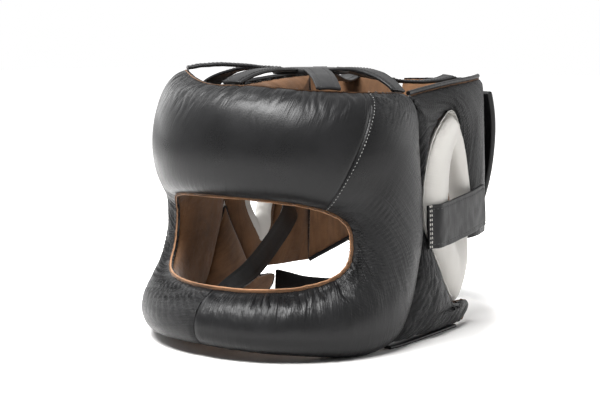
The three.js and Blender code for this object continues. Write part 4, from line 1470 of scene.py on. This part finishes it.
class HEADGEAR_OT_stage(bpy.types.Operator):
    """Set the pale floor, the soft lights and the camera"""

    bl_idname = "headgear.stage"
    bl_label = "Stage"

    azimuth = 36
    elevation = 7.5
    shadow_reach = (0.15, 0.19)  # half width and half depth, in metres, of the floor that keeps its shadow
    sensor = 36
    frame_width = 600
    focal_pixels = 1280
    shift_pixels = (-6, 5)

    def execute(self, context):
        self.floor()
        self.world(context)
        self.lights()
        self.camera(context)
        return {"FINISHED"}

    def direction(self, azimuth, elevation):
        a, e = math.radians(azimuth), math.radians(elevation)
        return Vector((math.sin(a) * math.cos(e), -math.cos(a) * math.cos(e), math.sin(e)))

    def floor(self):
        """White floor that keeps the shadow near the headgear and is plain white farther off."""
        mesh = bmesh.new()
        bmesh.ops.create_grid(mesh, x_segments=1, y_segments=1, size=6)
        data = bpy.data.meshes.new("floor")
        mesh.to_mesh(data)
        mesh.free()
        floor = bpy.data.objects.new("floor", data)
        bpy.context.scene.collection.objects.link(floor)
        shader = Shader("white floor")
        camera_ray = shader.node("ShaderNodeLightPath", output="Is Camera Ray")
        glossy_ray = shader.node("ShaderNodeLightPath", output="Is Glossy Ray")
        transmission_ray = shader.node("ShaderNodeLightPath", output="Is Transmission Ray")
        seen = camera_ray + glossy_ray + transmission_ray
        spread = shader.place((1 / self.shadow_reach[0], 1 / self.shadow_reach[1], 0))
        away = shader.node("ShaderNodeVectorMath", {"operation": "LENGTH"}, {0: spread}, output="Value")
        glow = shader.range(away, 0.84, 1.1) * shader.range(seen, 0.0, 1.0)
        shader.surface(base_color=(0.88, 0.87, 0.86, 1), roughness=0.9,
                       emission_color=shader.mix(glow, (0, 0, 0, 1), (1, 1, 1, 1)))
        shader.constants({"Specular IOR Level": 0.1, "Emission Strength": 1.0})
        data.materials.append(shader.material)

    def world(self, context):
        """White to the camera and in reflections; for light, bright on the far left and dim elsewhere."""
        world = bpy.data.worlds.new("studio")
        context.scene.world = world
        world.use_nodes = True
        tree = world.node_tree
        where = tree.nodes.new("ShaderNodeTexCoord")
        ahead = tree.nodes.new("ShaderNodeVectorMath")
        ahead.operation = "DOT_PRODUCT"
        ahead.inputs[1].default_value = self.direction(self.azimuth + 44, self.elevation)
        glow = tree.nodes.new("ShaderNodeMapRange")
        glow.inputs["From Min"].default_value = -0.95
        glow.inputs["From Max"].default_value = -0.1
        glow.inputs["To Min"].default_value = 1.0
        glow.inputs["To Max"].default_value = 0.05
        path = tree.nodes.new("ShaderNodeLightPath")
        strength = tree.nodes.new("ShaderNodeMapRange")
        tree.links.new(where.outputs["Generated"], ahead.inputs[0])
        tree.links.new(ahead.outputs["Value"], glow.inputs["Value"])
        seen = path.outputs["Is Camera Ray"]
        for kind in ("Is Glossy Ray", "Is Transmission Ray"):
            either = tree.nodes.new("ShaderNodeMath")
            either.operation = "MAXIMUM"
            tree.links.new(seen, either.inputs[0])
            tree.links.new(path.outputs[kind], either.inputs[1])
            seen = either.outputs[0]
        tree.links.new(seen, strength.inputs["Value"])
        tree.links.new(glow.outputs[0], strength.inputs["To Min"])
        tree.links.new(strength.outputs[0], tree.nodes["Background"].inputs["Strength"])
        tree.nodes["Background"].inputs["Color"].default_value = (1, 1, 1, 1)

    def lights(self):
        aim = Vector((0, 0, 0.1))
        lamps = (
            ("key", -6, 60, 1.3, (1.1, 0.45), 48.0),
            ("right", 138, 14, 1.4, (1.0, 0.6), 6.0),
            ("left", -100, 20, 1.4, (0.8, 0.8), 4.5),
        )
        for name, azimuth, elevation, distance, (width, height), power in lamps:
            light = bpy.data.lights.new(name, "AREA")
            light.shape = "RECTANGLE"
            light.size = width
            light.size_y = height
            light.energy = power
            lamp = bpy.data.objects.new(name, light)
            back = self.direction(azimuth, elevation)
            lamp.location = aim + back * distance
            lamp.rotation_euler = back.to_track_quat("Z", "Y").to_euler()
            bpy.context.scene.collection.objects.link(lamp)

    def camera(self, context):
        back = self.direction(self.azimuth, self.elevation)
        data = bpy.data.cameras.new("camera")
        data.sensor_width = self.sensor
        data.lens = self.sensor * self.focal_pixels / self.frame_width
        data.shift_x = self.shift_pixels[0] / self.frame_width
        data.shift_y = self.shift_pixels[1] / self.frame_width
        data.clip_start = 0.01
        camera = bpy.data.objects.new("camera", data)
        camera.location = Vector((0, ORIGIN_Y * MM, 0.095)) + back
        camera.rotation_euler = back.to_track_quat("Z", "Y").to_euler()
        context.scene.collection.objects.link(camera)
        context.scene.camera = camera
        context.scene.view_settings.view_transform = "Standard"


STEPS = (
    HEADGEAR_OT_mask_covers,
    HEADGEAR_OT_mask_lining,
    HEADGEAR_OT_side_panels,
    HEADGEAR_OT_ear_guards,
    HEADGEAR_OT_jaw_pads,
    HEADGEAR_OT_corded_edges,
    HEADGEAR_OT_back,
    HEADGEAR_OT_side_strap,
    HEADGEAR_OT_crown,
    HEADGEAR_OT_chin_straps,
    HEADGEAR_OT_stage,
)


class HEADGEAR_PT_panel(bpy.types.Panel):
    """Headgear sizes, colours and pieces"""

    bl_idname = "HEADGEAR_PT_panel"
    bl_label = "Boxing Headgear"
    bl_space_type = "VIEW_3D"
    bl_region_type = "UI"
    bl_category = "Headgear"

    def draw(self, context):
        scene = context.scene
        for group in (scene.headgear_sizes, scene.headgear_colours):
            box = self.layout.box()
            for name in group.__annotations__:
                box.prop(group, name)
        column = self.layout.column(align=True)
        for step in STEPS:
            column.operator(step.bl_idname)


CLASSES = (HeadgearSizes, HeadgearColours, *STEPS, HEADGEAR_PT_panel)


def register():
    for cls in CLASSES:
        bpy.utils.register_class(cls)
    bpy.types.Scene.headgear_sizes = bpy.props.PointerProperty(type=HeadgearSizes)
    bpy.types.Scene.headgear_colours = bpy.props.PointerProperty(type=HeadgearColours)


def unregister():
    del bpy.types.Scene.headgear_colours
    del bpy.types.Scene.headgear_sizes
    for cls in reversed(CLASSES):
        bpy.utils.unregister_class(cls)


def main():
    register()
    for step in STEPS:
        group, name = step.bl_idname.split(".")
        getattr(getattr(bpy.ops, group), name)()


if __name__ == "__main__":
    main()
